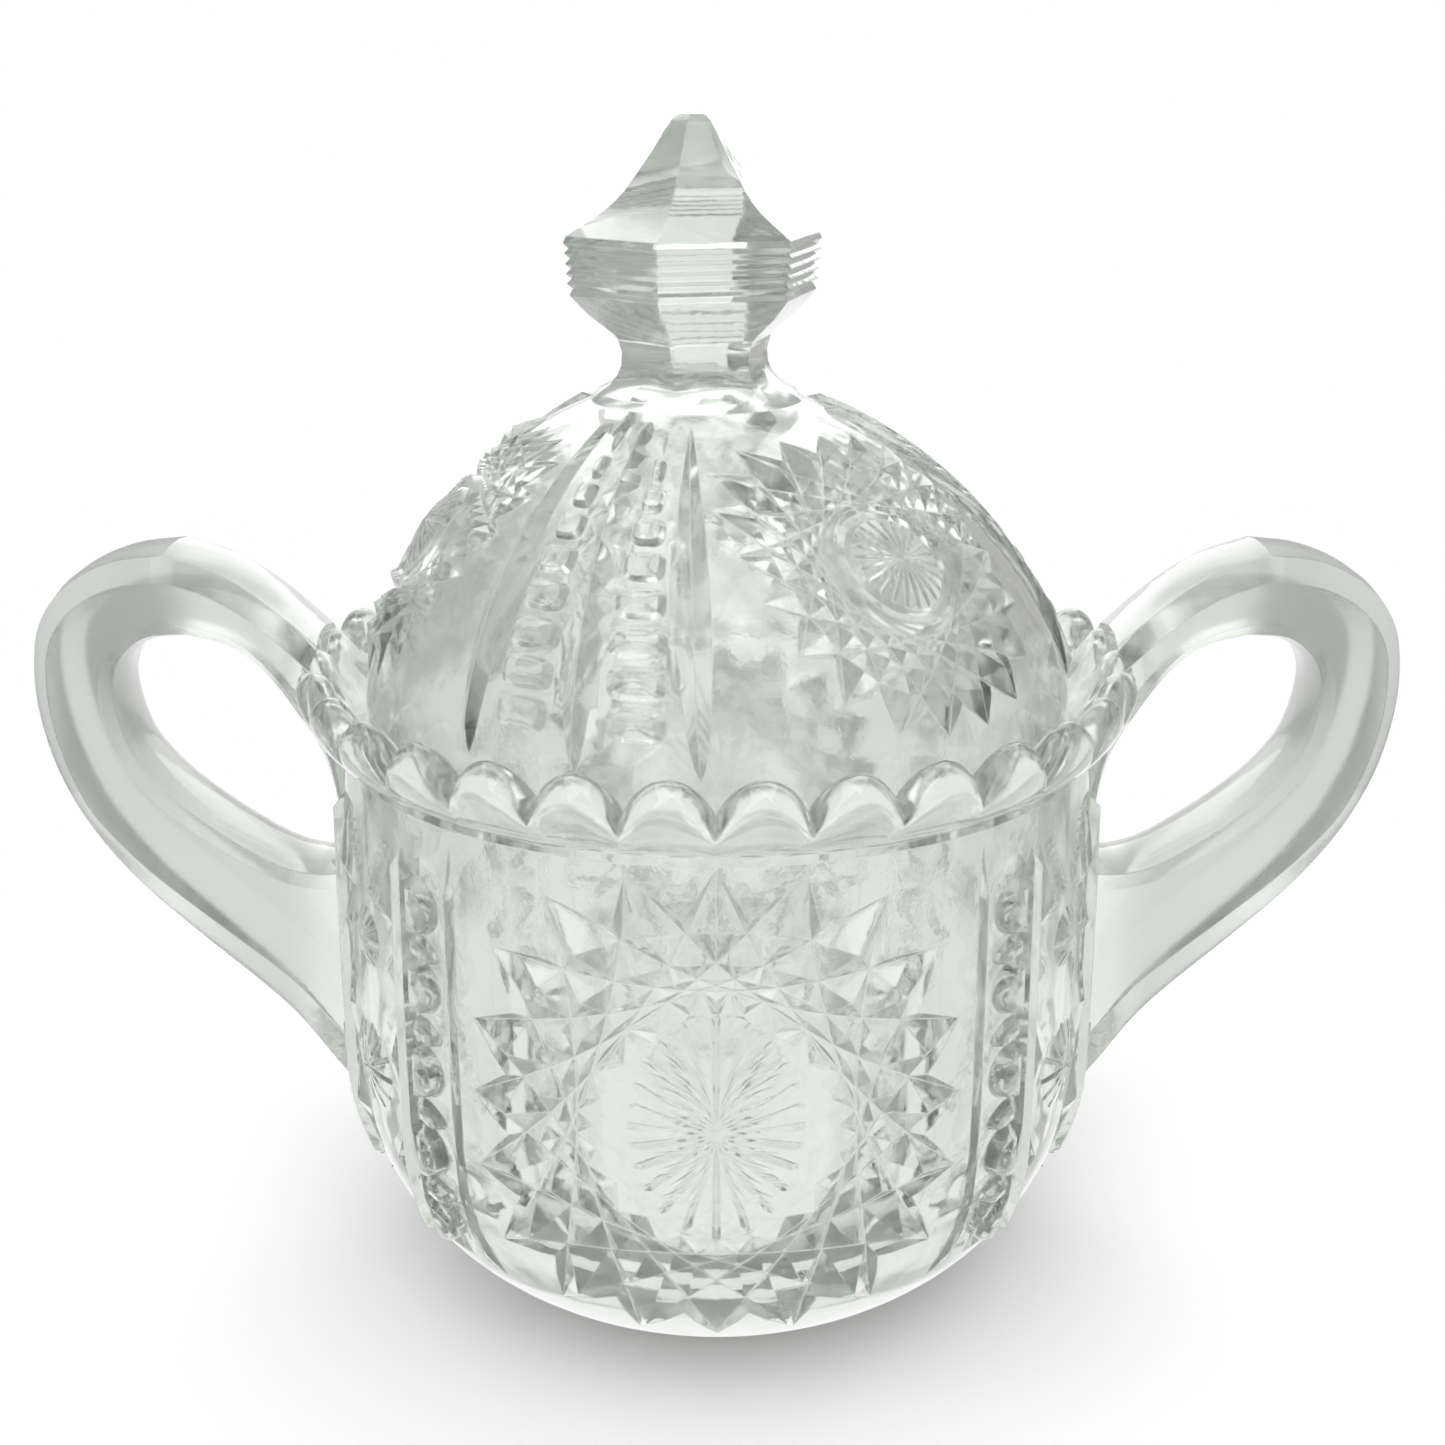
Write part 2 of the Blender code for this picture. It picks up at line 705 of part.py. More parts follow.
def handle_section(thickness, share):
    """Half the handle's section at this share of its way, as depth under its outer edge and distance across.

    The broad face slopes in a little towards the finger hole. The outer chamfer broadens at the lower root.
    """
    spread = max(0.0, share - LOWER_ARM) / (1 - LOWER_ARM)
    deep = HANDLE_DEPTH / 2
    return [
        (0.0, HANDLE_FLAT / 2),
        (HANDLE_CROWN, deep - CROWN_MARGIN),
        (CHAMFER + (ROOT_CHAMFER - CHAMFER) * spread, deep),
        (thickness - INNER_BEVEL, deep - FACE_SLOPE),
        (thickness, INNER_FLAT / 2),
    ]


def make_handle(side):
    """One ear handle: a section at each pair of stations on its two outlines."""
    shape = bmesh.new()
    pairs = list(zip(handle_outline(HANDLE_OUTER), handle_outline(HANDLE_INNER)))
    loops = []
    for i, (outer, inner) in enumerate(pairs):
        inward = (inner - outer).normalized()
        half = handle_section((inner - outer).length, i / (len(pairs) - 1))
        corners = []
        for depth, y in [*half, *((depth, -y) for depth, y in reversed(half))]:
            place = outer + depth * inward
            corners.append(Vector((side * place.x, y, place.y)))
        loops.append(corners)
    for low, high in zip(loops, loops[1:]):
        add_band(shape, low, high)
    add_disc(shape, loops[0])
    add_disc(shape, loops[-1])
    close_up(shape)
    return shape


def make_core():
    """What the handles' roots are trimmed by: the bowl's inside and half its wall."""
    shape = bmesh.new()
    middle = (BORE_R + WALL_R) / 2
    collar_out, collar_up = Vector(COLLAR_NOTCH[2]).lerp(Vector(COLLAR_NOTCH[-2]), 0.5)
    sides = RING // 2 - 2
    rings = [
        ring(FLOOR_R, FLOOR_Z, sides),
        ring(middle, SHOULDER_Z, sides),
        ring(middle, GROOVE_Z, sides),
        ring(GROOVE_R + collar_out, GROOVE_Z + collar_up, sides),
        ring(GROOVE_R + collar_out, RIM_Z + RIM_R, sides),
    ]
    for low, high in zip(rings, rings[1:]):
        add_band(shape, low, high)
    add_disc(shape, rings[0])
    add_disc(shape, rings[-1])
    close_up(shape)
    return shape


def add_boolean(obj, cutter, operation):
    modifier = obj.modifiers.new(cutter.name, "BOOLEAN")
    modifier.operation = operation
    modifier.object = cutter
    cutter.hide_render = True
    cutter.display_type = "WIRE"


def make_bowl(material):
    bowl = add_object("bowl", make_bowl_shell(bowl_profile()), material)
    core = add_object("handle_core", make_core(), material)
    for side, name in ((-1, "left_handle"), (1, "right_handle")):
        handle = add_object(name, make_handle(side), material)
        add_boolean(handle, core, "DIFFERENCE")
        add_boolean(bowl, handle, "UNION")
    shade_facets(bowl)
    return bowl


def dome_curve(radius, rise, edge, stop, steps):
    """A dome from its upright edge to where its radius is stop, as (r, z) points."""
    points = [(radius, 0.0)]
    top = (1 - (stop / radius) ** DOME_POWER) ** (1 / DOME_POWER)
    for height in (math.sin(a) for a in sweep(0.0, math.asin(top), steps)):
        points.append((radius * (1 - height**DOME_POWER) ** (1 / DOME_POWER), edge + (rise - edge) * height))
    return points


def dome_profile():
    radius = SEAT_R - LID_CLEARANCE
    return Profile(dome_curve(radius, DOME_RISE, LID_EDGE, NECK_R + NECK_SPREAD, 14))


def dome_net(profile, sector):
    """One group of the dome, unrolled: a star in its middle, and half a ladder group at each side."""
    net = Net()
    scale = profile.points[0][0]
    half = scale * sector / 2
    rows = round(profile.length / FILL)
    net.line([net.point((x, 0.0)) for x in sweep(-half, half, EDGE_STEPS)])
    net.line([net.point((x, profile.length)) for x in sweep(-half, half, NECK_STEPS)])

    def on_dome(across, station, angle=0.0):
        return (scale * (angle + across / profile.at(station)[0]), station)

    middle = profile.along(LID_STAR_HEIGHT)
    star = {
        "width": LID_STAR_WIDTH,
        "up": LID_STAR_UP,
        "down": LID_STAR_DOWN,
        "span": LID_STAR_SPAN,
        "turn": LID_STAR_TURN,
        "bow": 0.0,
        "side_bow": 0.0,
        "depth": LID_CUT_DEPTH,
    }

    def on_star(spot):
        return on_dome(spot.x, spot.y + middle)

    add_star(net, on_star, star)
    add_boss(net, on_star, (LID_BOSS, LID_BOSS), LID_BOSS_RISE, LID_BOSS_EDGE, LID_BOSS_RAYS, LID_BOSS_RINGS)
    for share, depth in ((MOAT_LOW, MOAT_DEPTH), (1.0, 0.0)):
        radius = LID_BOSS / 2 + share * MOAT_WIDTH
        angles = [2 * HALF_TURN * i / STAR_TIPS for i in range(STAR_TIPS)]
        spots = [radius * Vector((math.cos(a), math.sin(a))) for a in angles]
        net.loop([net.point(on_star(spot), -depth) for spot in spots])

    low = profile.along(SPEAR_LOW)
    high = profile.length - SPEAR_MARGIN
    stations = sweep(low, high, rows)
    for side in (-1, 1):
        spear = side * (sector / 2 - SPEAR_ANGLE)
        add_rib(net, [on_dome(0.0, y, spear) for y in stations], SPEAR_WIDTH, SPEAR_RISE, SPEAR_SWELL)
        # the middle rib of a ladder group lies on the line between two groups
        edge = side * half
        crest = [net.point((edge, 0.0)), net.point((edge, low))]
        crest += [net.point((edge, station), SPEAR_RISE) for station in stations[1:-1]]
        crest += [net.point((edge, high)), net.point((edge, profile.length))]
        net.line(crest)
        foot = []
        for i in range(1, rows):
            reach = -side * SPEAR_WIDTH / 2 * math.sin(HALF_TURN * i / rows) ** SPEAR_SWELL
            foot.append(net.point(on_dome(reach, stations[i], side * sector / 2)))
        net.line([crest[1], *foot, crest[-2]])
        # pads of the ladder between the ribs
        column = side * (sector / 2 - SPEAR_ANGLE / 2)
        pads = sweep(profile.along(LADDER_LOW), high - LADDER_MARGIN, LADDER_PADS)
        for lower, upper in zip(pads, pads[1:]):
            gap = LADDER_GAP * (upper - lower)
            reach = min(LADDER_WIDTH, SPEAR_ANGLE * profile.at(upper)[0] - SPEAR_WIDTH) / 2
            spots = [(-reach, lower + gap), (reach, lower + gap), (reach, upper - gap), (-reach, upper - gap)]
            add_pad(net, [on_dome(x, y, column) for x, y in spots], LADDER_RISE)

    def in_star(spot):
        across = spot.x / scale * profile.at(spot.y)[0]
        return math.hypot(across, spot.y - middle) < LID_STAR_WIDTH / 2

    net.fill(half, profile.length, in_star)
    return net


def hexagon(angle):
    """Share of its corner radius that a six-sided outline reaches at this angle."""
    sixth = HALF_TURN / 3
    off = (angle - FINIAL_TURN) % sixth - sixth / 2
    return math.cos(sixth / 2) / math.cos(off)


def finial_rows():
    """The finial's corner radius, its rise over the top of the dome's curve, and how far it is six-sided."""
    rows = [*NECK, *((radius, rise, 1.0) for radius, rise in BULB)]
    for i in range(2 * BAND_RIDGES + 1):
        share = i / (2 * BAND_RIDGES)
        radius = BAND_R + share * BAND_FLARE - (i % 2) * BAND_STEP
        rows.append((radius, BAND_FOOT + share * BAND_RISE, 1.0))
    return [*rows, *((radius, rise, 1.0) for radius, rise in (*FLARE, *CONE))]


def make_lid_shape():
    """The lid over its own seat at z = 0."""
    shape = bmesh.new()
    profile = dome_profile()
    sector = 2 * HALF_TURN / DOME_GROUPS
    corners, faces = dome_net(profile, sector).facets()
    scale = profile.points[0][0]
    for group in range(DOME_GROUPS):
        turn = LID_TURN + group * sector
        add_faces(shape, [profile.place(x / scale + turn, y, h) for x, y, h in corners], faces)

    # finial: the round top of the dome turns to six sides at the neck, with a corner at the finial's own turn
    count = DOME_GROUPS * NECK_STEPS
    start = LID_TURN - sector / 2
    pitch = 2 * HALF_TURN / count
    radius, height, _ = profile.at(profile.length)
    rings = [[polar(radius, start + pitch * i, height) for i in range(count)]]
    first = start + (FINIAL_TURN - start) % pitch
    angles = [first + pitch * i for i in range(count)]
    for corner, rise, share in finial_rows():
        reaches = [corner * (1 + share * (hexagon(angle) - 1)) for angle in angles]
        rings.append([polar(reach, angle, height + rise) for reach, angle in zip(reaches, angles)])
    for low, high in zip(rings, rings[1:]):
        add_band(shape, low, high)
    add_disc(shape, rings[-1])

    # underside: the flat edge that sits on the ledge, then the hollow of the dome
    count = DOME_GROUPS * EDGE_STEPS
    angles = [start + 2 * HALF_TURN * i / count for i in range(count)]
    outer = profile.points[0][0]
    inner = outer - LID_WALL
    rings = [[polar(outer, angle, 0.0) for angle in angles]]
    for radius, height in dome_curve(inner, DOME_RISE - DOME_CROWN, LID_EDGE, inner / 6, 7):
        rings.append([polar(radius, angle, height) for angle in angles[::2]])
    for low, high in zip(rings, rings[1:]):
        add_band(shape, low, high)
    add_disc(shape, rings[-1])
    close_up(shape)

    # the finial and the top of the dome lean a little to the left
    for corner in shape.verts:
        share = (corner.co.z / DOME_RISE - LEAN_FROM) / (1 - LEAN_FROM)
        corner.co.x -= FINIAL_LEAN * min(1.0, max(0.0, share))
    return shape


def make_lid(material):
    lid = add_object("lid", make_lid_shape(), material, (0, 0, SEAT_Z + SEAT_GAP))
    shade_facets(lid)
    return lid


def make_glass(name):
    """Clear pressed soda glass with a faint grey-green cast."""
    material = bpy.data.materials.new(name)
    material.use_nodes = True
    shader = material.node_tree.nodes["Principled BSDF"]
    shader.inputs["Base Color"].default_value = (0.86, 0.90, 0.87, 1.0)
    shader.inputs["Roughness"].default_value = 0.04
    shader.inputs["IOR"].default_value = 1.51
    shader.inputs["Transmission Weight"].default_value = 1.0
    return material


def main():
    for obj in list(bpy.data.objects):
        bpy.data.objects.remove(obj)
    make_bowl(make_glass("bowl_glass"))
    make_lid(make_glass("lid_glass"))


main()
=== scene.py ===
"""Looks of the two-handled covered bowl in pressed clear glass.

The bowl and the lid are modelled again, finer than their solids: the cut stars with a raised point in every
cell and a rayed button, the notched columns beside them, the rolled scallops of the collar, the ear handles
with their chamfers, and the ladder bands, stars and six-sided finial of the lid.

The relief is drawn flat, as a net of points and edges, each point with its height over the glass. The net is
filled with facets and wrapped on the turned wall, because no set of hand tools gives so many small facets
that meet edge to edge.
"""

import math

import bmesh
import bpy
import numpy as np
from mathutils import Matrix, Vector
from mathutils.geometry import delaunay_2d_cdt


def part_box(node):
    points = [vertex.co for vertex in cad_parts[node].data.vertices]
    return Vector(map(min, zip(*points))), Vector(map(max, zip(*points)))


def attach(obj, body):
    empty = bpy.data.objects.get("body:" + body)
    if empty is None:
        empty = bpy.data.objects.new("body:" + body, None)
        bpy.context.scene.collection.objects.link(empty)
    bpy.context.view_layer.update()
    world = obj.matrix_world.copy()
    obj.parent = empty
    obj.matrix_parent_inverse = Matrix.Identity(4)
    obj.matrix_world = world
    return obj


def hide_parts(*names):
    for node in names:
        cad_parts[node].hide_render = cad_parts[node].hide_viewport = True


MM = 0.001
TURN = 2 * math.pi

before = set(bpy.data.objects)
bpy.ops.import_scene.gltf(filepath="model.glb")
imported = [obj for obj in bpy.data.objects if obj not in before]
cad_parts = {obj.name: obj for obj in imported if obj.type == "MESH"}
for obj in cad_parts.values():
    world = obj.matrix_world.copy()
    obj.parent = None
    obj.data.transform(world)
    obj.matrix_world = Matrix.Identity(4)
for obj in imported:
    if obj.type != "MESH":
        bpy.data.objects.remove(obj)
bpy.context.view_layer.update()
_, BOWL_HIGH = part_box("bowl")
LID_LOW, LID_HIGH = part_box("lid")

# Bowl: its rim, the lid's seat and the lid's radius come from the solids' boxes
RIM_R = BOWL_HIGH.y
SEAT_Z = LID_LOW.z
LID_R = LID_HIGH.x
BASE_R = 36.5 * MM
SHOULDER_Z = 33.0 * MM
WALL_R = 56.0 * MM
GROOVE_R = 55.0 * MM
GROOVE_Z = 82.0 * MM
BORE_R = 49.0 * MM
FLOOR_R = 31.0 * MM
FLOOR_Z = 7.0 * MM
INNER_SHOULDER_Z = 36.0 * MM
FOOT_R = 30.0 * MM
FOOT_HOLLOW = 1.2 * MM
SCALLOPS = 32
RING = 12 * SCALLOPS
WALL_FILL = 2.6 * MM

# Stars: lengths in mm, slopes as rise over run, and turns in steps between two tips
STAR_TIPS = 20
CUT_STEPS = 8
CUT_RUN = 0.16
STAR_SQUARENESS = 2.6
SHOULDER_RUN = 1.6
BOWL_STAR_Z = 45.8 * MM
BOWL_STAR = {
    "width": 34.3,
    "up": 35.8,
    "down": 40.5,
    "span": 6,
    "turn": 0.0,
    "depth": 1.3,
    "slope": 0.95,
    "bow": 2.8,
    "side_bow": 4.4,
}
BOWL_BOSS = {"width": 11.6, "height": 16.4, "rise": 0.4, "edge": 0.4, "rays": 24, "groove": 0.6, "depth": 0.6}
BOSS_RINGS = (1.0, 0.92, 0.75, 0.55, 0.35, 0.18, 0.08)
RAY_SHARE = 0.32
RAY_OUTER_RUN = 0.08
RAY_INNER_RUN = 0.25
HEART_R = 2 * MM
HEART_SPAN = 6
HEART_CELL = 2.6 * MM
HEART_DEPTH = 0.8

# Raised work
PAD_RINGS = ((1.0, 0.0), (0.72, 0.72), (0.4, 0.95))
SPEAR_SWELL = 0.6
ROSETTE_GROOVE = 0.45

WELD = 1e-7


class Profile:
    """The outline of a turned wall from bottom to top, read by the length along it."""

    def __init__(self, points):
        self.points = np.array(points, float)
        steps = np.hypot(*np.diff(self.points, axis=0).T)
        self.lengths = np.concatenate([[0.0], np.cumsum(steps)])
        self.length = self.lengths[-1]
        ahead = np.gradient(self.points, self.lengths, axis=0)
        outward = np.stack([ahead[:, 1], -ahead[:, 0]], 1)
        self.normals = outward / np.linalg.norm(outward, axis=1)[:, None]

    def read(self, along, values):
        return np.interp(along, self.lengths, values)

    def radius(self, along):
        return self.read(along, self.points[:, 0])

    def along(self, height):
        return float(np.interp(height, self.points[:, 1], self.lengths))

    def place(self, angle, along, rise):
        """Points at these angles from the front, raised over the wall."""
        radius = self.radius(along) + rise * self.read(along, self.normals[:, 0])
        height = self.read(along, self.points[:, 1]) + rise * self.read(along, self.normals[:, 1])
        return np.stack([radius * np.sin(angle), -radius * np.cos(angle), height], 1)


class Net:
    """A flat net: points with a height over the glass, and the edges that its facets keep to."""

    def __init__(self):
        self.points = []
        self.heights = []
        self.edges = []
        self.fields = []

    def point(self, place, height=0.0):
        self.points.append(Vector(place))
        self.heights.append(height)
        return len(self.points) - 1

    def line(self, indices):
        self.edges.extend(zip(indices, indices[1:]))

    def loop(self, indices):
        self.line([*indices, indices[0]])

    def field(self, outline):
        """Marks what lies in this outline as worked glass, which the filling points keep out of."""
        corners = np.array([tuple(spot) for spot in outline])
        self.fields.append((corners, corners.min(0), corners.max(0)))

    def worked(self, x, y):
        for corners, low, high in self.fields:
            if low[0] < x < high[0] and low[1] < y < high[1]:
                after = np.roll(corners, -1, axis=0)
                spans = (corners[:, 1] > y) != (after[:, 1] > y)
                start, end = corners[spans], after[spans]
                cross = start[:, 0] + (y - start[:, 1]) / (end[:, 1] - start[:, 1]) * (end[:, 0] - start[:, 0])
                if (cross > x).sum() % 2:
                    return True
        return False

    def fill(self, low, high, spacing):
        """Points on the plain glass, in staggered rows clear of the edges."""
        starts = np.array([self.points[a] for a, _ in self.edges])
        runs = np.array([self.points[b] for _, b in self.edges]) - starts
        squares = np.maximum((runs**2).sum(1), WELD**2)
        rows = round((high[1] - low[1]) / spacing)
        columns = round((high[0] - low[0]) / spacing)
        for i in range(1, rows):
            y = low[1] + (high[1] - low[1]) * i / rows
            for j in range(columns):
                x = low[0] + (high[0] - low[0]) * (j + 0.25 + (i % 2) / 2) / columns
                if self.worked(x, y):
                    continue
                offset = np.array((x, y)) - starts
                share = np.clip((offset * runs).sum(1) / squares, 0, 1)
                gaps = np.linalg.norm(offset - share[:, None] * runs, axis=1)
                if gaps.min() > 0.5 * spacing:
                    self.point((x, y))

    def facets(self):
        """The net's corners as rows of x, y and height, and its triangles."""
        places, _, faces, origins, _, _ = delaunay_2d_cdt(self.points, self.edges, [], 0, WELD)
        heights = [self.heights[origin[0]] if origin else 0.0 for origin in origins]
        return np.array([(p.x, p.y, h) for p, h in zip(places, heights)]), faces


def sweep(low, high, steps):
    return [low + (high - low) * i / steps for i in range(steps + 1)]


def quarter(low, high, steps):
    """An arc from low, an (r, z) corner, that ends upright at high."""
    width = high[0] - low[0]
    rise = high[1] - low[1]
    radius = (width**2 + rise**2) / (2 * width)
    start = math.asin(min(1.0, rise / radius))
    points = []
    for angle in sweep(start, 0.0, steps):
        points.append((high[0] - radius * (1 - math.cos(angle)), high[1] - radius * math.sin(angle)))
    points[0] = low
    return points


def oval_reach(angle, width, height):
    return 1 / math.hypot(math.cos(angle) / width, math.sin(angle) / height)


def star_reach(angle, star):
    """How far the star reaches at this angle: a rounded square, taller below than above."""
    height = star["up"] if math.sin(angle) > 0 else star["down"]
    across = abs(math.cos(angle)) / star["width"]
    upright = abs(math.sin(angle)) / height
    return MM * (across**STAR_SQUARENESS + upright**STAR_SQUARENESS) ** (-1 / STAR_SQUARENESS)


def cell_size(corners):
    """Middle of a cell, and the radius of the circle that about fills it."""
    pairs = list(zip(corners, corners[1:] + corners[:1]))
    doubled = sum(a.cross(b) for a, b in pairs)
    middle = sum(((a + b) * a.cross(b) for a, b in pairs), Vector((0.0, 0.0))) / (3 * doubled)
    edge = sum((b - a).length for a, b in pairs)
    return middle, abs(doubled) / edge


def add_boss(net, place, boss):
    """The oval button in the middle of a star: a low dome with rays cut from its middle to its edge."""
    width, height, rise, edge, depth = (MM * boss[key] for key in ("width", "height", "rise", "edge", "depth"))
    pitch = TURN / boss["rays"]
    for share in BOSS_RINGS:
        cut = depth * min(1.0, (1.0 - share) / RAY_OUTER_RUN) * min(1.0, share / RAY_INNER_RUN)
        indices = []
        for i in range(boss["rays"]):
            for side in (-1, 0, 1, 2):
                middle = i * pitch
                reach = share * oval_reach(middle, width, height)
                half = min(RAY_SHARE * pitch, MM * boss["groove"] / reach)
                angle = middle + (pitch / 2 if side == 2 else side * half)
                reach = share * oval_reach(angle, width, height)
                lift = rise - (rise + edge) * share**2 - (cut if side == 0 else 0.0)
                indices.append(net.point(place(reach * math.cos(angle), reach * math.sin(angle)), lift))
        net.loop(indices)
    net.point(place(0.0, 0.0), rise - depth / 2)


def add_star(net, place, star, boss):
    """A star of crossing mitre cuts, with a raised point in each cell, round an oval button.

    Each cut runs from a tip to the one that is a span further on, bowed a little to the middle. place puts a
    spot of the flat star on the net.
    """
    angles = [TURN * ((i + star["turn"]) / STAR_TIPS + 0.25) for i in range(STAR_TIPS)]
    points = [star_reach(a, star) * Vector((math.cos(a), math.sin(a))) for a in angles]
    cuts = []
    for i in range(STAR_TIPS):
        last = (i + star["span"]) % STAR_TIPS
        start, end = points[i], points[last]
        inward = -(start + end).normalized()
        before = i
        for share in sweep(0.0, 1.0, CUT_STEPS)[1:-1]:
            bow = star["bow"] + (star["side_bow"] - star["bow"]) * inward.x**2
            points.append(start.lerp(end, share) + MM * bow * 4 * share * (1 - share) * inward)
            cuts.append((before, len(points) - 1))
            before = len(points) - 1
        cuts.append((before, last))
    spots, _, cells, origins, _, _ = delaunay_2d_cdt(points, cuts, [], 3, WELD)
    tips = {i for i, origin in enumerate(origins) if origin and min(origin) < STAR_TIPS}

    def cut_depth(spot):
        inside = 1 - spot.length / star_reach(math.atan2(spot.y, spot.x), star)
        return MM * star["depth"] * min(1.0, max(0.0, inside / CUT_RUN))

    depths = [0.0 if i in tips else cut_depth(spot) for i, spot in enumerate(spots)]
    nodes = [net.point(place(*spot), -depth) for spot, depth in zip(spots, depths)]
    net.field([place(*spot) for spot in points[:STAR_TIPS]])
    owners = {}
    for cell in cells:
        net.loop([nodes[i] for i in cell])
        for a, b in zip(cell, [*cell[1:], cell[0]]):
            owners.setdefault(frozenset((a, b)), []).append(cell)
        middle, radius = cell_size([spots[i] for i in cell])
        if middle.length < HEART_R:
            crossings = [i for i in cell if not origins[i]]
            add_heart_cells(net, place, star, [spots[i] for i in crossings], [nodes[i] for i in crossings])
            continue
        low = sum(depths[i] for i in cell) / len(cell)
        peak = net.point(place(*middle), star["slope"] * radius - low)
        for i in cell:
            net.line([nodes[i], peak])
    add_shoulders(net, place, spots, nodes, tips, depths, owners)
    add_boss(net, place, boss)


def add_heart_cells(net, place, star, spots, nodes):
    """A wreath of small raised points round the heart of a star with short cuts, one on each side of it."""
    if star["span"] > HEART_SPAN:
        return
    for i, spot in enumerate(spots):
        after = (i + 1) % len(spots)
        side = (spot + spots[after]) / 2
        tip = side - HEART_CELL * side.normalized()
        inner = net.point(place(*tip), -HEART_DEPTH * MM * star["depth"])
        middle, radius = cell_size([spot, spots[after], tip])
        peak = net.point(place(*middle), star["slope"] * radius - MM * star["depth"])
        net.line([nodes[i], inner, nodes[after]])
        for corner in (nodes[i], nodes[after], inner):
            net.line([corner, peak])


def add_shoulders(net, place, spots, nodes, tips, depths, owners):
    """The outer walls of the cuts between the star's tips, up to the plain glass."""
    outside = [tuple(edge) for edge, cells in owners.items() if len(cells) == 1]
    shoulder = {}
    for a, b in outside:
        for i in (a, b):
            if i in tips:
                shoulder[i] = nodes[i]
            elif i not in shoulder:
                spot = spots[i] + spots[i].normalized() * SHOULDER_RUN * depths[i]
                shoulder[i] = net.point(place(*spot))
        net.line([shoulder[a], shoulder[b]])


def add_rib(net, route, width, rise):
    """A rib with a sharp crest and pointed ends, along a route of places on the net."""
    route = [Vector(spot) for spot in route]
    crest = [net.point(route[0])]
    crest += [net.point(spot, rise) for spot in route[1:-1]]
    crest.append(net.point(route[-1]))
    net.line(crest)
    for side in (-0.5, 0.5):
        foot = []
        for before, spot, after in zip(route, route[1:], route[2:]):
            ahead = (after - before).normalized()
            foot.append(net.point(spot + side * width * Vector((-ahead.y, ahead.x))))
        net.line([crest[0], *foot, crest[-1]])


def add_spear(net, route, width, rise):
    """A rib with a sharp crest that swells from a point at each end."""
    crest = [net.point(route[0]), *(net.point(spot, rise) for spot in route[1:-1]), net.point(route[-1])]
    net.line(crest)
    steps = len(route) - 1
    sides = []
    for side in (-0.5, 0.5):
        foot = []
        for i in range(1, steps):
            ahead = (Vector(route[i + 1]) - Vector(route[i - 1])).normalized()
            half = side * width * math.sin(math.pi * i / steps) ** SPEAR_SWELL
            foot.append(net.point(Vector(route[i]) + half * Vector((-ahead.y, ahead.x))))
        net.line([crest[0], *foot, crest[-1]])
        sides.append([net.points[i] for i in foot])
    net.field([*sides[0], *reversed(sides[1])])


def add_pad(net, outline, rise, foot=0.0):
    """A pillow: its outline at the foot, a ring nearly as high as its middle, and the middle."""
    outline = [Vector(spot) for spot in outline]
    net.field(outline)
    middle = sum(outline, Vector((0.0, 0.0))) / len(outline)
    for share, lift in PAD_RINGS:
        net.loop([net.point(middle.lerp(spot, share), foot + (rise - foot) * lift) for spot in outline])
    net.point(middle, rise)


def add_facet(net, corners, peak, rise):
    """A cell with a raised point off its middle."""
    net.field(corners)
    top = net.point(peak, rise)
    indices = [net.point(spot) for spot in corners]
    net.loop(indices)
    for i in indices:
        net.line([i, top])


def add_rosette(net, place, radius, rise, rays, depth):
    """A low round dome with rays cut in it."""
    size = radius / MM
    disc = {"width": size, "height": size, "rise": rise / MM, "edge": 0.0}
    disc |= {"rays": rays, "groove": ROSETTE_GROOVE, "depth": depth / MM}
    net.field([place(radius * math.cos(a), radius * math.sin(a)) for a in sweep(0.0, TURN, 24)[:-1]])
    add_boss(net, place, disc)


def bowl_profile():
    arc = quarter((BASE_R, 0.0), (WALL_R, SHOULDER_Z), 24)
    wall = []
    for u in sweep(0, 1, 16):
        wall.append((WALL_R + (GROOVE_R - WALL_R) * u * u, SHOULDER_Z + (GROOVE_Z - SHOULDER_Z) * u))
    return Profile([*arc, *wall[1:]])


# Bands between a star panel and a handle, in mm round the wall and up its curve
RIDGE_ROUTE = (
    (34.6, 20.0),
    (35.7, 25.0),
    (36.6, 30.0),
    (37.2, 36.0),
    (37.5, 43.0),
    (37.6, 52.0),
    (37.6, 62.0),
    (37.6, 72.0),
    (37.6, 80.0),
    (37.4, 87.0),
)
RIDGE_WIDTH, RIDGE_RISE = 1.8 * MM, 0.9 * MM
SUNK = 1.2 * MM
SUNK_OFF = 2.0
CREST = 47.6
CREST_LOW, CREST_HIGH = 23.0, 84.0
CREST_WIDTH, CREST_RISE = 1.9 * MM, 1.8 * MM
CREST_GAP = 1.2
CHAIN = 59.5
PAD_EDGE = 41.2
PADS = (76.0, 64.3, 51.5, 39.0, 26.8)
PAD_HALF = 4.2
PAD_RISE = 1.8 * MM
RUNGS = (70.2, 58.0, 45.2, 33.0)
RUNG_RISE = 0.9 * MM
ROSETTES = ((66.6, 4.4), (46.5, 6.4))
ROSETTE_RAYS = 12
ROSETTE_RISE, ROSETTE_DEPTH = 1.0 * MM, 0.5 * MM
HALF_DIAMONDS = ((61.6, 69.6, 4.0), (44.6, 60.4, 5.2), (29.0, 43.4, 5.8))
DIAMOND_RISE = 1.3 * MM
ARCH = ((48.9, 71.0), (49.8, 84.0), (56.6, 72.4))
ARCH_PEAK = (51.4, 75.2)
ARCH_RISE = 1.6 * MM
TICK_GAP, TICK_REACH = 0.5, 2.4
TICK_WIDTH, TICK_RISE = 0.9 * MM, 0.6 * MM
TEETH = 75.6
TOOTH_ROUTE = (-2.9, -1.8, 0.0, 1.8, 2.9)
TOOTH_WIDTH, TOOTH_RISE = 2.6 * MM, 1.9 * MM


